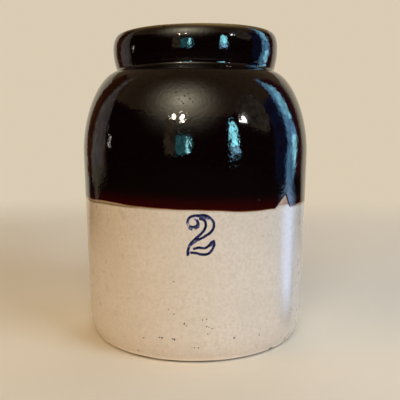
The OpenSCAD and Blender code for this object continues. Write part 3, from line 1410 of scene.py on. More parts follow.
@dataclass(frozen=True)
class WhiteCoat(JarPiece):
    """The white glaze, from just above the foot to the dip line."""

    name: ClassVar[str] = "white_glaze_coat"
    node: ClassVar[str] = "white_glaze"
    slot: ClassVar[Slot] = Slot.WHITE
    form: JarForm
    dip: DipLine
    flake: Flake
    finish: WhiteFinish = WhiteFinish()
    columns: int = 300
    foot_rows: int = 26
    foot_crowding: float = 1.8
    foot_zone: float = 12 * MM
    wall_rows: int = 58
    top_rows: int = 16
    top_zone: float = 4 * MM
    inner_rows: int = 30
    edge_r: float = 0.7 * MM
    edge_least: float = 0.1
    snap_share: float = 0.3
    chip_span: float = 1.2
    chip_step: float = 0.12
    chip_full: float = 0.4 * MM
    chips: tuple[Chip, ...] = (
        Chip(53.4, 0.8, 3.6 * MM),
        Chip(42.2, 1.9, 2.4 * MM),
        Chip(-141.0, 1.6, 2.0 * MM),
        Chip(161.0, 2.4, 1.6 * MM),
    )
    foot_ripple: float = 0.25 * MM
    foot_waves: tuple[Wave, Wave] = (Wave(17), Wave(5, 0.7))
    lump_azimuth: float = 20.6
    lump_span: float = 3.0
    lump_step: float = 0.3
    lump_z: float = 20.6 * MM
    lump_w: float = 2.4 * MM
    lump_proud: float = 0.4 * MM
    stain_w: float = 1.7 * MM
    stain_down: float = 0.5 * MM
    stain_fade: float = 0.5
    stain_left: Range = (5.0, 42.0)
    stain_least: float = 0.2
    flake_span: float = 8.0
    flake_step: float = 0.16
    flake_rise: float = 2.4 * MM
    flake_rise_share: float = 0.72
    flake_rise_waves: tuple[Wave, ...] = (Wave(190, tall=0.2), Wave(331, tall=0.13))
    flake_fill: float = 0.6

    def surface(self, azimuth: Array, height: Array) -> Array:
        """Radius of the glaze on the straight wall."""
        return self.form.wall_radius(height) + self.form.white_t + self.form.unevenness(azimuth, height)

    def foot_edge(self, azimuth: Array) -> tuple[Array, Array]:
        """Finds the lower edge of the coat.

        Args:
            azimuth: Directions in degrees.

        Returns:
            Height of the edge, and 1 where it is chipped.
        """
        turn = np.radians(azimuth)
        quick, slow = (wave.along(turn) for wave in self.foot_waves)
        edge = self.form.bare_z + self.foot_ripple * (1 + quick * slow)
        loss = np.zeros_like(azimuth)
        for chip in self.chips:
            apart = np.abs(turned_apart(azimuth, chip.azimuth)) / chip.width
            loss = np.maximum(loss, chip.height * np.sqrt(np.clip(1 - apart**2, 0.0, 1.0)))
        return edge + loss, ease(0.0, self.chip_full, loss)

    def build(self) -> bpy.types.Object:
        """Models the coat as one closed skin.

        Returns:
            The coat's object.
        """
        form = self.form
        at_flake = FineSpan(self.flake.azimuth, self.flake_span, self.flake_step)
        at_lump = FineSpan(self.lump_azimuth, self.lump_span, self.lump_step)
        reach = self.chip_span
        at_chips = [FineSpan(chip.azimuth, reach * chip.width, self.chip_step) for chip in self.chips]
        azimuths = columns_round(self.columns, (at_flake, at_lump, *at_chips))
        outer = form.lower_line().moved_out(form.white_t)
        clay = form.lower_line().moved_out(CLEARANCE)
        low_z, chipped = self.foot_edge(azimuths)
        top_z = self.dip.height(azimuths) + self.crumbled(azimuths) - CLEARANCE
        low = outer.way_at(low_z)[:, None]
        top = outer.way_at(top_z)[:, None]
        foot_end = low + self.foot_zone
        top_start = top - self.top_zone
        way = np.concatenate([
            low + self.foot_zone * np.linspace(0.0, 1.0, self.foot_rows)[None, :] ** self.foot_crowding,
            foot_end + (top_start - foot_end) * np.linspace(0.0, 1.0, self.wall_rows)[None, 1:-1],
            top_start + self.top_zone * np.linspace(0.0, 1.0, self.top_rows)[None, :],
        ], axis=1)
        flat = outer.at(way, np.zeros_like(way))
        compass = np.broadcast_to(azimuths[:, None], way.shape)
        proud = self.skin(way - low, chipped[:, None]) - form.white_t
        proud = proud + form.unevenness(compass, flat[..., 1]) + self.lump(compass, flat[..., 1])
        outside = outer.at(way, proud)
        down = np.linspace(1.0, 0.0, self.inner_rows)[None, :]
        under_low = clay.way_at(low_z)[:, None]
        under_top = clay.way_at(top_z)[:, None]
        under = under_low + (under_top - under_low) * down
        inside = clay.at(under, np.zeros_like(under))
        sections = np.concatenate([outside, inside], axis=1)
        stain = self.stain(top - way, compass)
        blank = np.zeros(under.shape)
        masks = {Mask.STAIN: np.concatenate([stain, blank], axis=1)}
        faces = ring_faces(*sections.shape[:2], closed=True)
        return mesh_piece(self.name, turn_sections(azimuths, sections), faces, masks)

    def skin(self, past_edge: Array, chipped: Array) -> Array:
        """Shapes the lower edge.

        Args:
            past_edge: Distance up from the edge.
            chipped: 1 where the edge is a break, 0 where it is rounded by the fire.

        Returns:
            Height of the coat over the clay.
        """
        inwards = 1 - np.clip(past_edge / self.edge_r, 0.0, 1.0)
        fired = self.form.white_t * np.maximum(np.sqrt(1 - inwards**2), self.edge_least)
        steep = past_edge / (self.snap_share * self.edge_r)
        snapped = self.form.white_t * np.clip(steep, self.edge_least, 1.0)
        return fired * (1 - chipped) + snapped * chipped

    def crumbled(self, azimuth: Array) -> Array:
        """Finds the ragged upper edge that the lost flake has laid open.

        Args:
            azimuth: Directions in degrees.

        Returns:
            Rise of the edge above the dip line.
        """
        gap = self.flake.depth(azimuth, self.form.body_r)
        ragged = self.flake_rise_share + summed(self.flake_rise_waves, np.radians(azimuth))
        return np.minimum(self.flake_fill * gap, self.flake_rise * ragged)

    def lump(self, azimuth: Array, height: Array) -> Array:
        """A small blob of glaze low on the front."""
        along = np.radians(turned_apart(azimuth, self.lump_azimuth)) * self.form.heel_r
        return self.lump_proud * hill(np.hypot(along, height - self.lump_z), self.lump_w)

    def stain(self, below_top: Array, azimuth: Array) -> Array:
        """Marks where brown has bled into the white just under the dip line, more at the left.

        Args:
            below_top: Distance down from the upper edge.
            azimuth: Directions in degrees.

        Returns:
            1 where the stain is strongest.
        """
        left = ease(*self.stain_left, -turned_apart(azimuth, 0.0))
        strength = self.stain_least + (1 - self.stain_least) * left
        past = below_top - self.stain_down
        return strength * (1 - ease(self.stain_fade * self.stain_w, self.stain_w, past))


@dataclass(frozen=True)
class LiningCoat(JarPiece):
    """The brown slip inside the jar, with the rings that the potter's fingers left."""

    name: ClassVar[str] = "lining_glaze_coat"
    node: ClassVar[str] = "lining_glaze"
    slot: ClassVar[Slot] = Slot.LINING
    form: JarForm
    finish: LiningFinish = LiningFinish()
    columns: int = 240
    rows: int = 150
    ring_pitch: float = 13 * MM
    ring_proud: float = 0.22 * MM
    ring_stray: Wave = Wave(0.31, tall=0.6)
    floor_fade: float = 30 * MM
    throat_fade: float = 50 * MM

    def build(self) -> bpy.types.Object:
        """Models the lining as one closed skin that meets itself in the middle of the floor.

        Returns:
            The lining's object.
        """
        form = self.form
        azimuths = columns_round(self.columns, ())
        clay = form.inside_line()
        up = np.linspace(0.0, clay.length, self.rows)[1:]
        way = np.broadcast_to(up, (len(azimuths), len(up)))
        compass = np.broadcast_to(azimuths[:, None], way.shape)
        phase = 2 * math.pi * way / self.ring_pitch - np.radians(compass)
        fade = ease(0.0, self.floor_fade, way) * ease(0.0, self.throat_fade, clay.length - way)
        ring = fade * np.sin(phase + self.ring_stray.along(phase))
        hidden = clay.at(way, np.full(way.shape, -CLEARANCE))
        shown = clay.at(way, -form.slip_t - self.ring_proud * ring)[:, ::-1]
        sections = np.concatenate([hidden, shown], axis=1)
        corners = turn_sections(azimuths, sections)
        rows = sections.shape[1]
        poles = np.zeros((2, 3))
        poles[:, 2] = form.floor_z + np.array([CLEARANCE, form.slip_t])
        faces = ring_faces(len(azimuths), rows, closed=False)
        under, over = len(corners), len(corners) + 1
        for column in range(len(azimuths)):
            after = (column + 1) % len(azimuths)
            faces.append([column * rows, under, after * rows])
            faces.append([after * rows + rows - 1, over, column * rows + rows - 1])
        thin = np.concatenate([np.zeros(way.shape), np.clip(ring, 0.0, 1.0)[:, ::-1]], axis=1)
        masks = {Mask.THIN: np.concatenate([thin.ravel(), [0.0, 0.0]])}
        return mesh_piece(self.name, np.vstack([corners, poles]), faces, masks)


@dataclass(frozen=True)
class CapacityFigure(JarPiece):
    """The blue figure stamped on the white glaze, as a thin raised print with soft, uneven edges."""

    name: ClassVar[str] = "capacity_figure_print"
    node: ClassVar[str] = "capacity_figure"
    slot: ClassVar[Slot] = Slot.INK
    coat: WhiteCoat
    finish: InkFinish = InkFinish()
    pitch: float = 0.2 * MM
    margin: float = 2.4 * MM
    proud: float = 0.12 * MM
    film: float = 0.03 * MM
    least_ink: float = 0.03
    seed: int = 7
    fine_grain: float = 0.35 * MM
    broad_grain: float = 1.6 * MM
    blur_reach: int = 3
    soak: float = 0.58 * MM
    edge_range: Range = (0.07, 0.31)
    edge_rough: float = 0.08
    rough_range: Range = (0.02, 0.3)
    line_ink: float = 0.97
    line_fine: float = 0.06
    line_broad: float = 0.1
    worn_fine: float = 0.2
    wash_soak: float = 0.7
    wash_ink: float = 0.9
    wash_fine: float = 0.22
    wash_least: float = 0.3
    washes: tuple[Wash, ...] = (
        Wash(((3.8, 128.8), (7.1, 129.0), (10.7, 127.8)), 2.0, 0.7),
        Wash(((-2.8, 129.4), (-0.1, 129.8), (2.3, 129.5)), 1.5, 0.75),
        Wash(((1.6, 125.9), (2.7, 123.5), (2.3, 120.9), (-0.1, 119.4)), 1.7, 0.85),
        Wash(((-0.8, 127.3), (0.8, 126.8)), 1.2, 0.8),
        Wash(((2.3, 110.5), (-0.7, 107.9), (-4.0, 105.6)), 1.6, 0.85),
        Wash(((14.8, 107.5), (15.9, 105.8), (14.8, 103.1)), 1.7, 0.85),
        Wash(((12.0, 104.6), (14.8, 105.9)), 1.5, 0.85),
        Wash(((-6.4, 98.7), (-6.5, 97.2)), 1.8, 1.0),
        Wash(((-5.4, 120.1), (-4.4, 119.1), (-3.1, 118.6)), 1.4, 0.95),
    )
    worn: tuple[Wash, ...] = (
        Wash(((-5.2, 127.0), (-6.1, 124.4)), 1.8, 0.24),
        Wash(((-6.2, 123.5), (-5.7, 122.2)), 1.7, 0.85),
        Wash(((-5.9, 104.1), (-3.9, 104.9)), 1.0, 0.8),
        Wash(((-4.6, 100.0), (-4.6, 98.6)), 1.0, 0.8),
    )

    def covered(self, across: Array, upward: Array) -> Array:
        """Finds which points of a flat field the CAD figure's lines cover.

        Args:
            across: X of the field's columns.
            upward: Z of the field's rows.

        Returns:
            1 on the lines and 0 off them, as rows and columns.
        """
        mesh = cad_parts[self.node].data
        mesh.calc_loop_triangles()
        field = np.zeros((len(upward), len(across)))
        for triangle in mesh.loop_triangles:
            a, b, c = (np.array(mesh.vertices[corner].co)[[0, 2]] for corner in triangle.vertices)
            twice_area = (b[0] - a[0]) * (c[1] - a[1]) - (b[1] - a[1]) * (c[0] - a[0])
            if abs(twice_area) < NO_AREA:
                continue
            low = np.minimum(np.minimum(a, b), c)
            high = np.maximum(np.maximum(a, b), c)
            columns = slice(*np.searchsorted(across, (low[0], high[0])))
            rows = slice(*np.searchsorted(upward, (low[1], high[1])))
            x, z = np.meshgrid(across[columns], upward[rows])
            s = ((x - a[0]) * (c[1] - a[1]) - (z - a[1]) * (c[0] - a[0])) / twice_area
            t = ((b[0] - a[0]) * (z - a[1]) - (b[1] - a[1]) * (x - a[0])) / twice_area
            within = (s >= 0) & (t >= 0) & (s + t <= 1)
            field[rows, columns] = np.maximum(field[rows, columns], within)
        return field

    def brushed(self, washes: tuple[Wash, ...], across: Array, upward: Array) -> Array:
        """Draws washes on a flat field.

        Args:
            washes: Runs of ink, or stretches where it has worn away.
            across: X of the field's columns.
            upward: Z of the field's rows.

        Returns:
            Strength of the washes, as rows and columns.
        """
        x, z = np.meshgrid(across / MM, upward / MM)
        field = np.zeros(x.shape)
        for wash in washes:
            for start, end in zip(wash.points, wash.points[1:]):
                run = np.subtract(end, start)
                share = ((x - start[0]) * run[0] + (z - start[1]) * run[1]) / (run @ run)
                share = np.clip(share, 0.0, 1.0)
                away = np.hypot(x - start[0] - share * run[0], z - start[1] - share * run[1])
                field = np.maximum(field, wash.strength * (away < wash.width / 2))
        return field

    def blurred(self, field: Array, radius: float) -> Array:
        """Spreads a field in both directions.

        Args:
            field: Values as rows and columns.
            radius: How far the values spread.

        Returns:
            The softened field.
        """
        reach = int(self.blur_reach * radius / self.pitch) + 1
        kernel = hill(np.arange(-reach, reach + 1) * self.pitch, radius)
        kernel /= kernel.sum()
        spread = np.apply_along_axis(np.convolve, 0, field, kernel, mode="same")
        return np.apply_along_axis(np.convolve, 1, spread, kernel, mode="same")

    def ink(self, across: Array, upward: Array) -> Array:
        """Inks the figure unevenly.

        Args:
            across: X of the field's columns.
            upward: Z of the field's rows.

        Returns:
            Strength of the ink from 0 to 1, as rows and columns.
        """
        chance = np.random.default_rng(self.seed)
        grain = chance.normal(size=(len(upward), len(across)))
        fine = self.blurred(grain, self.fine_grain)
        broad = self.blurred(grain, self.broad_grain)
        fine /= fine.std()
        broad /= broad.std()
        soft = self.blurred(self.covered(across, upward), self.soak)
        run = self.blurred(self.brushed(self.washes, across, upward), self.wash_soak * self.soak)
        bare = self.blurred(self.brushed(self.worn, across, upward), self.soak)
        rough = self.edge_rough * fine * ease(*self.rough_range, soft)
        edge = ease(*self.edge_range, soft + rough)
        strength = self.line_ink + self.line_fine * fine + self.line_broad * broad
        strength = strength - bare * (1 + self.worn_fine * fine)
        wash = np.clip(self.wash_ink + self.wash_fine * fine, self.wash_least, 1.0)
        return np.maximum(edge * np.clip(strength, 0.0, 1.0), run * wash)

    def cells(self, ink: Array) -> Array:
        """Picks the cells that hold ink, without pairs that only touch at a corner.

        Args:
            ink: Strength of the ink at the cells' corners.

        Returns:
            True for each cell to model.
        """
        lower = np.maximum(ink[:-1, :-1], ink[:-1, 1:])
        upper = np.maximum(ink[1:, :-1], ink[1:, 1:])
        kept = np.maximum(lower, upper) > self.least_ink
        kept[0, :] = kept[-1, :] = False
        kept[:, 0] = kept[:, -1] = False
        # Cells that meet only at a corner would share an edge of the relief between four faces.
        while True:
            a, b, c, d = kept[:-1, :-1], kept[:-1, 1:], kept[1:, :-1], kept[1:, 1:]
            rising = a & d & ~b & ~c
            falling = b & c & ~a & ~d
            if not (rising.any() or falling.any()):
                return kept
            b |= rising
            a |= falling

    def build(self) -> bpy.types.Object:
        """Models the print as closed relief on the glaze.

        Returns:
            The print's object.
        """
        low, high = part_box(self.node)
        across = np.arange(low.x - self.margin, high.x + self.margin, self.pitch)
        upward = np.arange(low.z - self.margin, high.z + self.margin, self.pitch)
        ink = self.ink(across, upward)
        x, z = np.meshgrid(across, upward)
        azimuth = np.degrees(np.arcsin(x / self.coat.form.body_r))
        surface = self.coat.surface(azimuth, z)
        layers = []
        for radius in (surface + self.film + self.proud * ink, surface - self.film):
            layers.append(np.stack([x, -np.sqrt(radius**2 - x**2), z], axis=-1).reshape(-1, 3))
        kept = self.cells(ink)
        wide = len(across)
        row, column = np.nonzero(kept)
        corner = row * wide + column
        top = np.stack([corner, corner + 1, corner + wide + 1, corner + wide], axis=-1)
        below = len(x.ravel())
        faces = [*top.tolist(), *(top[:, ::-1] + below).tolist()]
        sides = ((-1, 0, 0, 1), (0, 1, 1, 2), (1, 0, 2, 3), (0, -1, 3, 0))
        for step_up, step_across, start, end in sides:
            open_side = ~kept[row + step_up, column + step_across]
            a, b = top[open_side, start], top[open_side, end]
            faces.extend(np.stack([b, a, a + below, b + below], axis=-1).tolist())
        used, numbers = np.unique(np.array(faces), return_inverse=True)
        corners = np.vstack(layers)[used]
        strength = np.concatenate([ink.ravel(), ink.ravel()])[used]
        faces = numbers.reshape(-1, 4).tolist()
        return mesh_piece(self.name, corners, faces, {Mask.INK: strength})


@dataclass(frozen=True)
class ClayBody:
    """The four clay sections, which keep their CAD solids."""

    nodes: tuple[str, ...] = ("base_dish", "lower_wall", "shoulder", "rim_collar")
    finish: ClayFinish = ClayFinish()

    def dress(self, effects: SharedEffects) -> None:
        """Gives each section the clay's finish.

        Args:
            effects: Shared shader groups.
        """
        clay = self.finish.material(effects)
        for node in self.nodes:
            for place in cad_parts[node].material_slots:
                place.material = clay
            log.info("%s: dressed as it was packed", node)


@dataclass(frozen=True)
class Softbox:
    """An even panel of light."""

    name: str
    azimuth: float
    elevation: float
    distance: float
    width: float
    tall: float
    watts: float
    colour: Colour = (1.0, 1.0, 1.0)
    shape: LampShape = LampShape.OBLONG
    aim: Place = (0.0, 0.0, 0.16)
    rays: Rays = Rays.ALL


@dataclass(frozen=True)
class Reflector:
    """A bright or dark shape round the jar for its gloss, with azimuths and heights as its outline."""

    name: str
    colour: Colour
    strength: float
    broken: float
    radius: float
    outline: tuple[Point, ...]


def direction(azimuth: float, elevation: float) -> Vector:
    """Points away from the jar.

    Args:
        azimuth: Direction round the jar, in degrees.
        elevation: Direction above level, in degrees.

    Returns:
        A vector of length 1.
    """
    turn = math.radians(azimuth)
    rise = math.radians(elevation)
    return Vector((math.cos(rise) * math.sin(turn), -math.cos(rise) * math.cos(turn), math.sin(rise)))


@dataclass(frozen=True)
class Studio:
    """A pale floor that curves up into a round wall, soft lights and the camera, tilted in radians."""

    floor_r: float = 2.7
    floor_rings: Range = (0.02, 0.6)
    bend_r: float = 0.7
    bend_rows: int = 16
    wall_h: float = 3.2
    wall_columns: int = 96
    paint: Colour = (0.79, 0.69, 0.54)
    paint_rough: float = 0.9
    chalk: Colour = (1.0, 1.0, 1.0)
    chalk_scale: float = 3.0
    chalk_range: Range = (0.0, 0.06)
    far_colour: Colour = (0.70, 0.605, 0.455)
    far_range: Range = (0.6, 1.2)
    dusk: Colour = (0.02, 0.016, 0.014)
    dusk_range: Range = (0.35, 0.8)
    ahead_range: Range = (0.76, 0.64)
    sky: Colour = (0.012, 0.012, 0.012)
    cloud_scale: float = 9.0
    cloud_range: Range = (0.35, 0.65)
    overhead: tuple[Point, ...] = ((2.6, 1.6), (0.02, 2.6))
    overhead_columns: int = 48
    overhead_colour: Colour = (1.0, 0.66, 0.36)
    overhead_strength: float = 0.22
    overhead_broken: float = 0.25
    sheen_start: Place = (0.098, -0.061, 0.5 * MM)
    sheen_azimuth: float = 107.5
    sheen_spread: Range = (20.0, 8.0)
    sheen_narrows: Range = (1.0, 1.3)
    sheen_reach: Range = (0.03, 1.5)
    sheen_colour: Colour = (0.4, 0.63, 1.0)
    sheen_strength: float = 3.6
    sheen_fade: float = 0.2
    glow_azimuth: float = -14.5
    glow_elevation: float = 45.5
    glow_distance: float = 2.0
    glow_r: float = 1.7
    glow_corners: int = 64
    glow_stretch: float = 1.45
    glow_fall: float = 5.0
    glow_strength: float = 7.6
    glow_colour: Colour = (1.0, 0.905, 0.66)
    lens: float = 49.5
    near_clip: float = 0.01
    eye: Place = (0.0, -0.5548, 0.1989)
    pitch: float = 0.1242
    yaw: float = 0.00827
    reflectors: tuple[Reflector, ...] = (
        Reflector("dark_right", (1.0, 0.2, 0.33), 0.09, 0.3, 1.8, (
            (96, 0.0), (129, 0.0), (129, 1.0), (122, 1.7), (112, 2.3), (100, 2.3), (96, 1.9),
        )),
        Reflector("blue_right", (0.24, 0.6, 1.0), 2.4, 0.5, 1.5, (
            (106.3, 2.12), (100.2, 1.65), (99.1, 1.27), (98.5, 0.88), (99.6, 0.63), (101.0, 0.46),
            (100.8, 0.3), (98.2, 0.07), (98.2, 0.0), (112.5, 0.0), (115.6, 0.07), (118.3, 0.26),
            (119.8, 0.38), (117.8, 0.45), (116.0, 0.54), (114.9, 0.74), (115.2, 1.05), (107.3, 1.49),
        )),
        Reflector("bright_right_high", (0.3, 0.76, 1.0), 4.6, 0.5, 1.48, (
            (106.5, 1.6), (104.5, 1.2), (103.6, 0.84), (105.5, 0.66), (112.5, 0.55), (116.0, 0.54),
            (114.9, 0.74), (115.2, 1.05), (107.3, 1.49),
        )),
        Reflector("bright_right_low", (0.36, 0.82, 1.0), 5.4, 0.5, 1.48, (
            (112.0, 0.36), (119.0, 0.33), (118.1, 0.26), (115.4, 0.07), (110.7, 0.04), (108.6, 0.08),
            (107.8, 0.2), (108.9, 0.3),
        )),
        Reflector("dim_right", (0.12, 0.3, 1.0), 0.15, 0.5, 1.5, (
            (77, 1.0), (80.5, 0.7), (82.4, 0.43), (81.2, 0.07), (82, 0.0), (98, 0.0), (98, 0.07),
            (100, 0.3), (100, 0.46), (99, 0.63), (98, 0.88), (96, 1.1), (88, 1.15),
        )),
        Reflector("bright_front", (0.3, 0.88, 1.0), 19.0, 0.4, 1.5, (
            (36.0, 0.83), (33.6, 0.67), (32.0, 0.41), (31.5, 0.34), (41.4, 0.34), (40.5, 0.41),
            (40.4, 0.65), (38.9, 0.81),
        )),
        Reflector("bright_front_low", (0.32, 0.72, 1.0), 9.0, 0.9, 1.5, (
            (31.5, 0.34), (31.1, 0.24), (31.3, 0.11), (39.8, 0.10), (42.2, 0.17), (41.4, 0.34),
        )),
        Reflector("dim_front", (0.2, 0.9, 1.0), 1.3, 0.6, 1.5, (
            (-18.6, 0.54), (-17.8, 0.12), (-10.0, 0.15), (-3.0, 0.2), (-3.0, 0.5), (-6.0, 0.56),
        )),
        Reflector("slit_front", (0.4, 0.95, 1.0), 24.0, 0.4, 1.48, (
            (-8.2, 0.49), (-8.0, 0.18), (-6.6, 0.18), (-6.4, 0.49),
        )),
        Reflector("slit_left", (1.0, 0.97, 0.92), 11.0, 0.2, 1.45, (
            (-90.8, 0.4), (-90.6, 0.24), (-89.4, 0.26), (-89.8, 0.41),
        )),
        Reflector("grey_left", (1.0, 0.87, 0.78), 0.4, 0.3, 1.5, (
            (-103.0, 1.3), (-98.5, 0.76), (-97.0, 0.48), (-98.2, 0.19), (-99.0, 0.04), (-113.0, 0.0),
            (-123.0, 0.0), (-124.0, 0.05), (-122.0, 0.16), (-120.4, 0.38), (-118.6, 0.61), (-112.6, 1.05),
            (-112.0, 1.6), (-108.0, 2.1),
        )),
        Reflector("grey_left_low", (1.0, 0.8, 0.55), 0.28, 0.3, 0.94, (
            (-116.8, 0.0), (-116.5, 0.04), (-118.0, 0.065), (-122.0, 0.1), (-94.0, 0.1), (-94.5, 0.08),
            (-103.0, 0.063), (-110.0, 0.04), (-111.5, 0.0),
        )),
        Reflector("dark_left", (1.0, 0.28, 0.1), 0.11, 0.4, 1.85, (
            (-137.5, 0.0), (-137.5, 0.7), (-134, 1.1), (-134, 1.5), (-131, 2.0), (-118, 2.7), (-105, 2.7),
            (-100, 1.5), (-95, 0.0),
        )),
        Reflector("warm_left", (1.0, 0.75, 0.46), 0.42, 0.5, 1.5, (
            (-29, 0.9), (-29, 0.13), (-20, 0.13), (-20, 0.95),
        )),
        Reflector("warm_right", (1.0, 0.82, 0.62), 0.3, 0.6, 1.5, (
            (44, 1.2), (47, 0.9), (53, 0.75), (60, 0.6), (75, 0.5), (80, 0.7), (76, 1.4), (60, 1.5),
        )),
    )
    boxes: tuple[Softbox, ...] = (
        Softbox("lamp_left", -22, 28, 2.0, 0.1, 0.1, 7.0, (1.0, 0.82, 0.62),
                shape=LampShape.ROUND, rays=Rays.SHINE),
        Softbox("lamp_middle", -13, 28.5, 2.0, 0.08, 0.08, 5.0, (1.0, 0.82, 0.62),
                shape=LampShape.ROUND, rays=Rays.SHINE),
        Softbox("lamp_right", 51, 25, 2.0, 0.16, 0.16, 16.0, (1.0, 0.96, 0.92),
                shape=LampShape.ROUND, rays=Rays.SHINE),
        Softbox("soft_left", -66, 29, 1.7, 1.0, 1.0, 7.2, (1.0, 0.56, 0.06), rays=Rays.SOFT),
        Softbox("soft_front", -6, 29, 1.7, 1.0, 1.0, 16.9, (1.0, 0.94, 0.82), rays=Rays.SOFT),
        Softbox("soft_side", 52, 26, 1.7, 0.9, 1.0, 19.6, (0.6, 0.765, 1.0), rays=Rays.SOFT),
        Softbox("soft_right", 108, 25, 1.7, 0.8, 1.0, 3.6, (0.6, 0.66, 1.0), rays=Rays.SOFT),
        Softbox("soft_back", 172, 30, 1.8, 1.2, 1.0, 7.0, rays=Rays.SOFT),
        Softbox("wash_back", 0, 45, 1.9, 1.2, 0.4, 12.0, (1.0, 0.96, 0.9), aim=(0.0, 2.4, 0.7)),
    )

    def build_backdrop(self) -> bpy.types.Object:
        """Models the floor and its round wall.

        Returns:
            The backdrop's object.
        """
        angle = np.linspace(0.0, math.pi / 2, self.bend_rows)
        bend_radius = self.floor_r - self.bend_r * (1 - np.sin(angle))
        bend = np.column_stack([bend_radius, self.bend_r * (1 - np.cos(angle))])
        flat = [[radius, 0.0] for radius in self.floor_rings]
        line = np.vstack([flat, bend, [self.floor_r, self.wall_h]])
        azimuths = columns_round(self.wall_columns, ())
        sections = np.broadcast_to(line[::-1], (len(azimuths), *line.shape))
        faces = ring_faces(len(azimuths), len(line), closed=False)
        faces.append([column * len(line) + len(line) - 1 for column in range(len(azimuths))])
        backdrop = mesh_piece("backdrop", turn_sections(azimuths, sections), faces, {})
        backdrop.data.materials.append(self.backdrop_paint())
        return backdrop

    def backdrop_paint(self) -> bpy.types.Material:
        """Paints the backdrop even in the distance, and dark ahead of the jar where gloss mirrors it.

        Returns:
            The material.
        """
        sheet = MaterialSheet("backdrop_paint")
        # Ahead is 1 in front of the jar and beside it, and 0 behind it.
        place = sheet.axes()
        level = sheet.place("ShaderNodeCombineXYZ", {"X": place["X"], "Y": place["Y"]}).outputs[0]
        away = sheet.length(level)
        ahead = sheet.eased(sheet.sums(Sum.DIVIDE, place["Y"], away), *self.ahead_range)
        rays = sheet.place("ShaderNodeLightPath").outputs
        camera = rays["Is Camera Ray"]
        dim = sheet.sums(Sum.MULTIPLY, ahead, sheet.eased(away, *self.dusk_range))
        dim = sheet.sums(Sum.MULTIPLY, dim, sheet.sums(Sum.SUBTRACT, 1.0, camera))
        chalky = sheet.between(sheet.noise(self.chalk_scale), *self.chalk_range)
        colour = sheet.blend(chalky, self.paint, self.chalk)
        colour = sheet.blend(dim, colour, self.dusk)
        matt = {"Base Color": colour, "Roughness": self.paint_rough, "Specular IOR Level": 0.0}
        painted = sheet.place("ShaderNodeBsdfPrincipled", matt).outputs[0]
        even = sheet.light(self.far_colour, 1.0)
        indirect = sheet.sums(Sum.MAXIMUM, rays["Is Glossy Ray"], rays["Is Transmission Ray"])
        behind = sheet.sums(Sum.MULTIPLY, indirect, sheet.sums(Sum.SUBTRACT, 1.0, ahead))
        seen = sheet.sums(Sum.MAXIMUM, camera, behind)
        seen = sheet.sums(Sum.MULTIPLY, sheet.eased(away, *self.far_range), seen)
        sheet.material.cycles.emission_sampling = "NONE"
        return sheet.end(sheet.place("ShaderNodeMixShader", {0: seen, 1: painted, 2: even}).outputs[0])

    def glow_alone(self, name: str, colour: Colour, strength: float, broken: float) -> bpy.types.Material:
        """Makes a cloudy light of its own.

        Args:
            name: Name of the material.
            colour: Colour of the light.
            strength: Middle strength.
            broken: Share by which the strength rises and falls.

        Returns:
            The material.
        """
        sheet = MaterialSheet(name)
        clouds = sheet.eased(sheet.noise(self.cloud_scale), *self.cloud_range)
        level = sheet.between(clouds, strength * (1 - broken), strength * (1 + broken))
        return sheet.end(sheet.light(colour, level))

    def build_reflector(self, reflector: Reflector) -> bpy.types.Object:
        """Models a shape that stands round the jar and that only reflections see.

        Args:
            reflector: The shape's outline and light.

        Returns:
            The shape's object.
        """
        azimuth, height = np.array(reflector.outline).T
        turn = np.radians(azimuth)
        outward = np.column_stack([np.sin(turn), -np.cos(turn)])
        corners = np.column_stack([reflector.radius * outward, height])
        card = mesh_piece(reflector.name, corners, [list(range(len(corners)))], {})
        light = self.glow_alone(reflector.name, reflector.colour, reflector.strength, reflector.broken)
        card.data.materials.append(light)
        self.show_in_gloss(card)
        return card

    def build_overhead(self) -> bpy.types.Object:
        """Models a dim, shallow cone above the jar that only reflections see.

        Returns:
            The cone's object.
        """
        azimuths = columns_round(self.overhead_columns, ())
        line = np.array(self.overhead)
        sections = np.broadcast_to(line, (len(azimuths), *line.shape))
        faces = ring_faces(len(azimuths), len(line), closed=False)
        cone = mesh_piece("overhead_cone", turn_sections(azimuths, sections), faces, {})
        light = (self.overhead_colour, self.overhead_strength, self.overhead_broken)
        cone.data.materials.append(self.glow_alone("overhead_cone_light", *light))
        self.show_in_gloss(cone)
        return cone

    @staticmethod
    def show_in_gloss(item: bpy.types.Object) -> None:
        """Leaves a thing of the stage to mirrored rays alone.

        Args:
            item: The thing's object.
        """
        item.visible_camera = False
        item.visible_diffuse = False
        item.visible_shadow = False

    def build_sheen(self) -> bpy.types.Object:
        """Models a sheen on the floor at the right, which only reflections see.

        Returns:
            The sheen's object.
        """
        near, far = self.sheen_reach
        widest, _least = self.sheen_spread
        first = direction(self.sheen_azimuth - widest, 0.0)
        last = direction(self.sheen_azimuth + widest, 0.0)
        corners = np.array([near * first, far * first, far * last, near * last])
        sheen = mesh_piece("floor_sheen", corners, [list(range(len(corners)))], {})
        sheen.location = self.sheen_start
        sheen.data.materials.append(self.sheen_light())
        self.show_in_gloss(sheen)
        return sheen

    def sheen_light(self) -> bpy.types.Material:
        """Makes a light that fades towards its sides and its start and is narrow at its far end.

        Returns:
            The material.
        """
        sheet = MaterialSheet("floor_sheen_light")
        place = sheet.axes()
        turn = sheet.sums(Sum.ARCTAN2, place["X"], sheet.sums(Sum.MULTIPLY, place["Y"], -1.0))
        aside = sheet.sums(Sum.ABSOLUTE, sheet.sums(Sum.SUBTRACT, turn, math.radians(self.sheen_azimuth)))
        away = sheet.length(sheet.own_place())
        narrowed = sheet.eased(away, *self.sheen_narrows)
        spread = sheet.between(narrowed, *(math.radians(angle) for angle in self.sheen_spread))
        start, _end = self.sheen_reach
        share = sheet.eased(aside, spread, 0.0)
        share = sheet.sums(Sum.MULTIPLY, share, sheet.eased(away, start, self.sheen_fade))
        strength = sheet.sums(Sum.MULTIPLY, share, self.sheen_strength)
        return sheet.end(sheet.light(self.sheen_colour, strength))

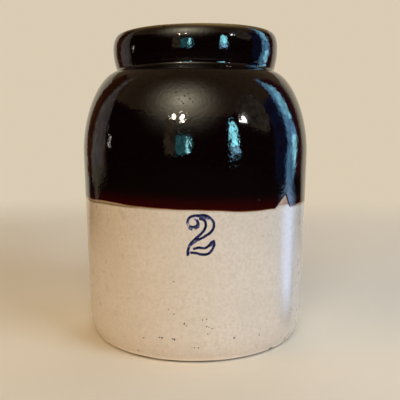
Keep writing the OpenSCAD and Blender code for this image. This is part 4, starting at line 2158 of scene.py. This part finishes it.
    def build_glow(self) -> bpy.types.Object:
        """Models a round glow overhead, brightest in its middle, that only reflections see.

        Returns:
            The diffuser's object.
        """
        turn = np.linspace(0.0, 2 * math.pi, self.glow_corners, endpoint=False)
        corners = self.glow_r * np.column_stack([np.cos(turn), np.sin(turn), np.zeros_like(turn)])
        glow = mesh_piece("overhead_glow", corners, [list(range(len(turn)))], {})
        glow.data.materials.append(self.glow_light())
        outward = direction(self.glow_azimuth, self.glow_elevation)
        glow.location = self.glow_distance * outward
        glow.rotation_euler = outward.to_track_quat("Z", "Y").to_euler()
        glow.scale = (self.glow_stretch, 1.0, 1.0)
        self.show_in_gloss(glow)
        return glow

    def glow_light(self) -> bpy.types.Material:
        """Makes a clear light that falls off from its middle.

        Returns:
            The material.
        """
        sheet = MaterialSheet("overhead_glow_light")
        away = sheet.length(sheet.own_place())
        share = sheet.sums(Sum.SUBTRACT, 1.0, sheet.sums(Sum.DIVIDE, away, self.glow_r))
        share = sheet.sums(Sum.POWER, share, self.glow_fall)
        light = sheet.light(self.glow_colour, sheet.sums(Sum.MULTIPLY, share, self.glow_strength))
        clear = sheet.place("ShaderNodeBsdfTransparent").outputs[0]
        return sheet.end(sheet.place("ShaderNodeAddShader", {0: light, 1: clear}).outputs[0])

    @staticmethod
    def add_box(box: Softbox) -> None:
        """Hangs one light.

        Args:
            box: The light to hang.
        """
        away = direction(box.azimuth, box.elevation)
        data = bpy.data.lights.new(box.name, "AREA")
        data.shape = box.shape.value
        data.size = box.width
        if box.shape is LampShape.OBLONG:
            data.size_y = box.tall
        data.energy = box.watts
        data.color = box.colour
        light = bpy.data.objects.new(box.name, data)
        light.location = Vector(box.aim) + box.distance * away
        light.rotation_euler = (-away).to_track_quat("-Z", "Y").to_euler()
        light.visible_camera = False
        light.visible_diffuse = box.rays is not Rays.SHINE
        light.visible_glossy = box.rays is not Rays.SOFT
        bpy.context.scene.collection.objects.link(light)

    def set_sky(self) -> None:
        """Gives the open top of the studio an even glow."""
        world = bpy.data.worlds.new("sky")
        world.use_nodes = True
        world.node_tree.nodes["Background"].inputs["Color"].default_value = opaque(self.sky)
        bpy.context.scene.world = world

    def set_camera(self) -> None:
        """Puts the camera at the photograph's viewing angle."""
        data = bpy.data.cameras.new("camera")
        data.lens = self.lens
        data.clip_start = self.near_clip
        camera = bpy.data.objects.new("camera", data)
        camera.location = self.eye
        camera.rotation_euler = (math.pi / 2 - self.pitch, 0.0, -self.yaw)
        bpy.context.scene.collection.objects.link(camera)
        bpy.context.scene.camera = camera

    def build(self) -> None:
        """Sets up the floor, the lights and the camera."""
        cards = [self.build_reflector(reflector) for reflector in self.reflectors]
        self.build_backdrop()
        self.build_glow()
        self.build_sheen()
        self.build_overhead()
        for box in self.boxes:
            self.add_box(box)
        self.set_sky()
        self.set_camera()
        bpy.context.scene.view_settings.view_transform = "Standard"


def main() -> None:
    """Builds the jar's pieces in order, dresses them and sets the stage."""
    logging.basicConfig(level=logging.INFO, format="%(name)s: %(message)s")
    form = JarForm.from_frame()
    log.info("form read: %.1f mm across, %.1f mm tall", 2 * form.body_r / MM, form.crest_z / MM)
    dip = DipLine(form)
    flake = Flake()
    effects = SharedEffects(form, WhiteBody())
    white = WhiteCoat(form, dip, flake)
    for maker in (white, BrownCoat(form, dip, flake), LiningCoat(form), CapacityFigure(white)):
        piece = maker.build()
        maker.dress(piece, effects)
        log.info("%s: %d faces", piece.name, len(piece.data.polygons))
    ClayBody().dress(effects)
    Studio().build()
    log.info("studio set")


if __name__ == "__main__":
    main()
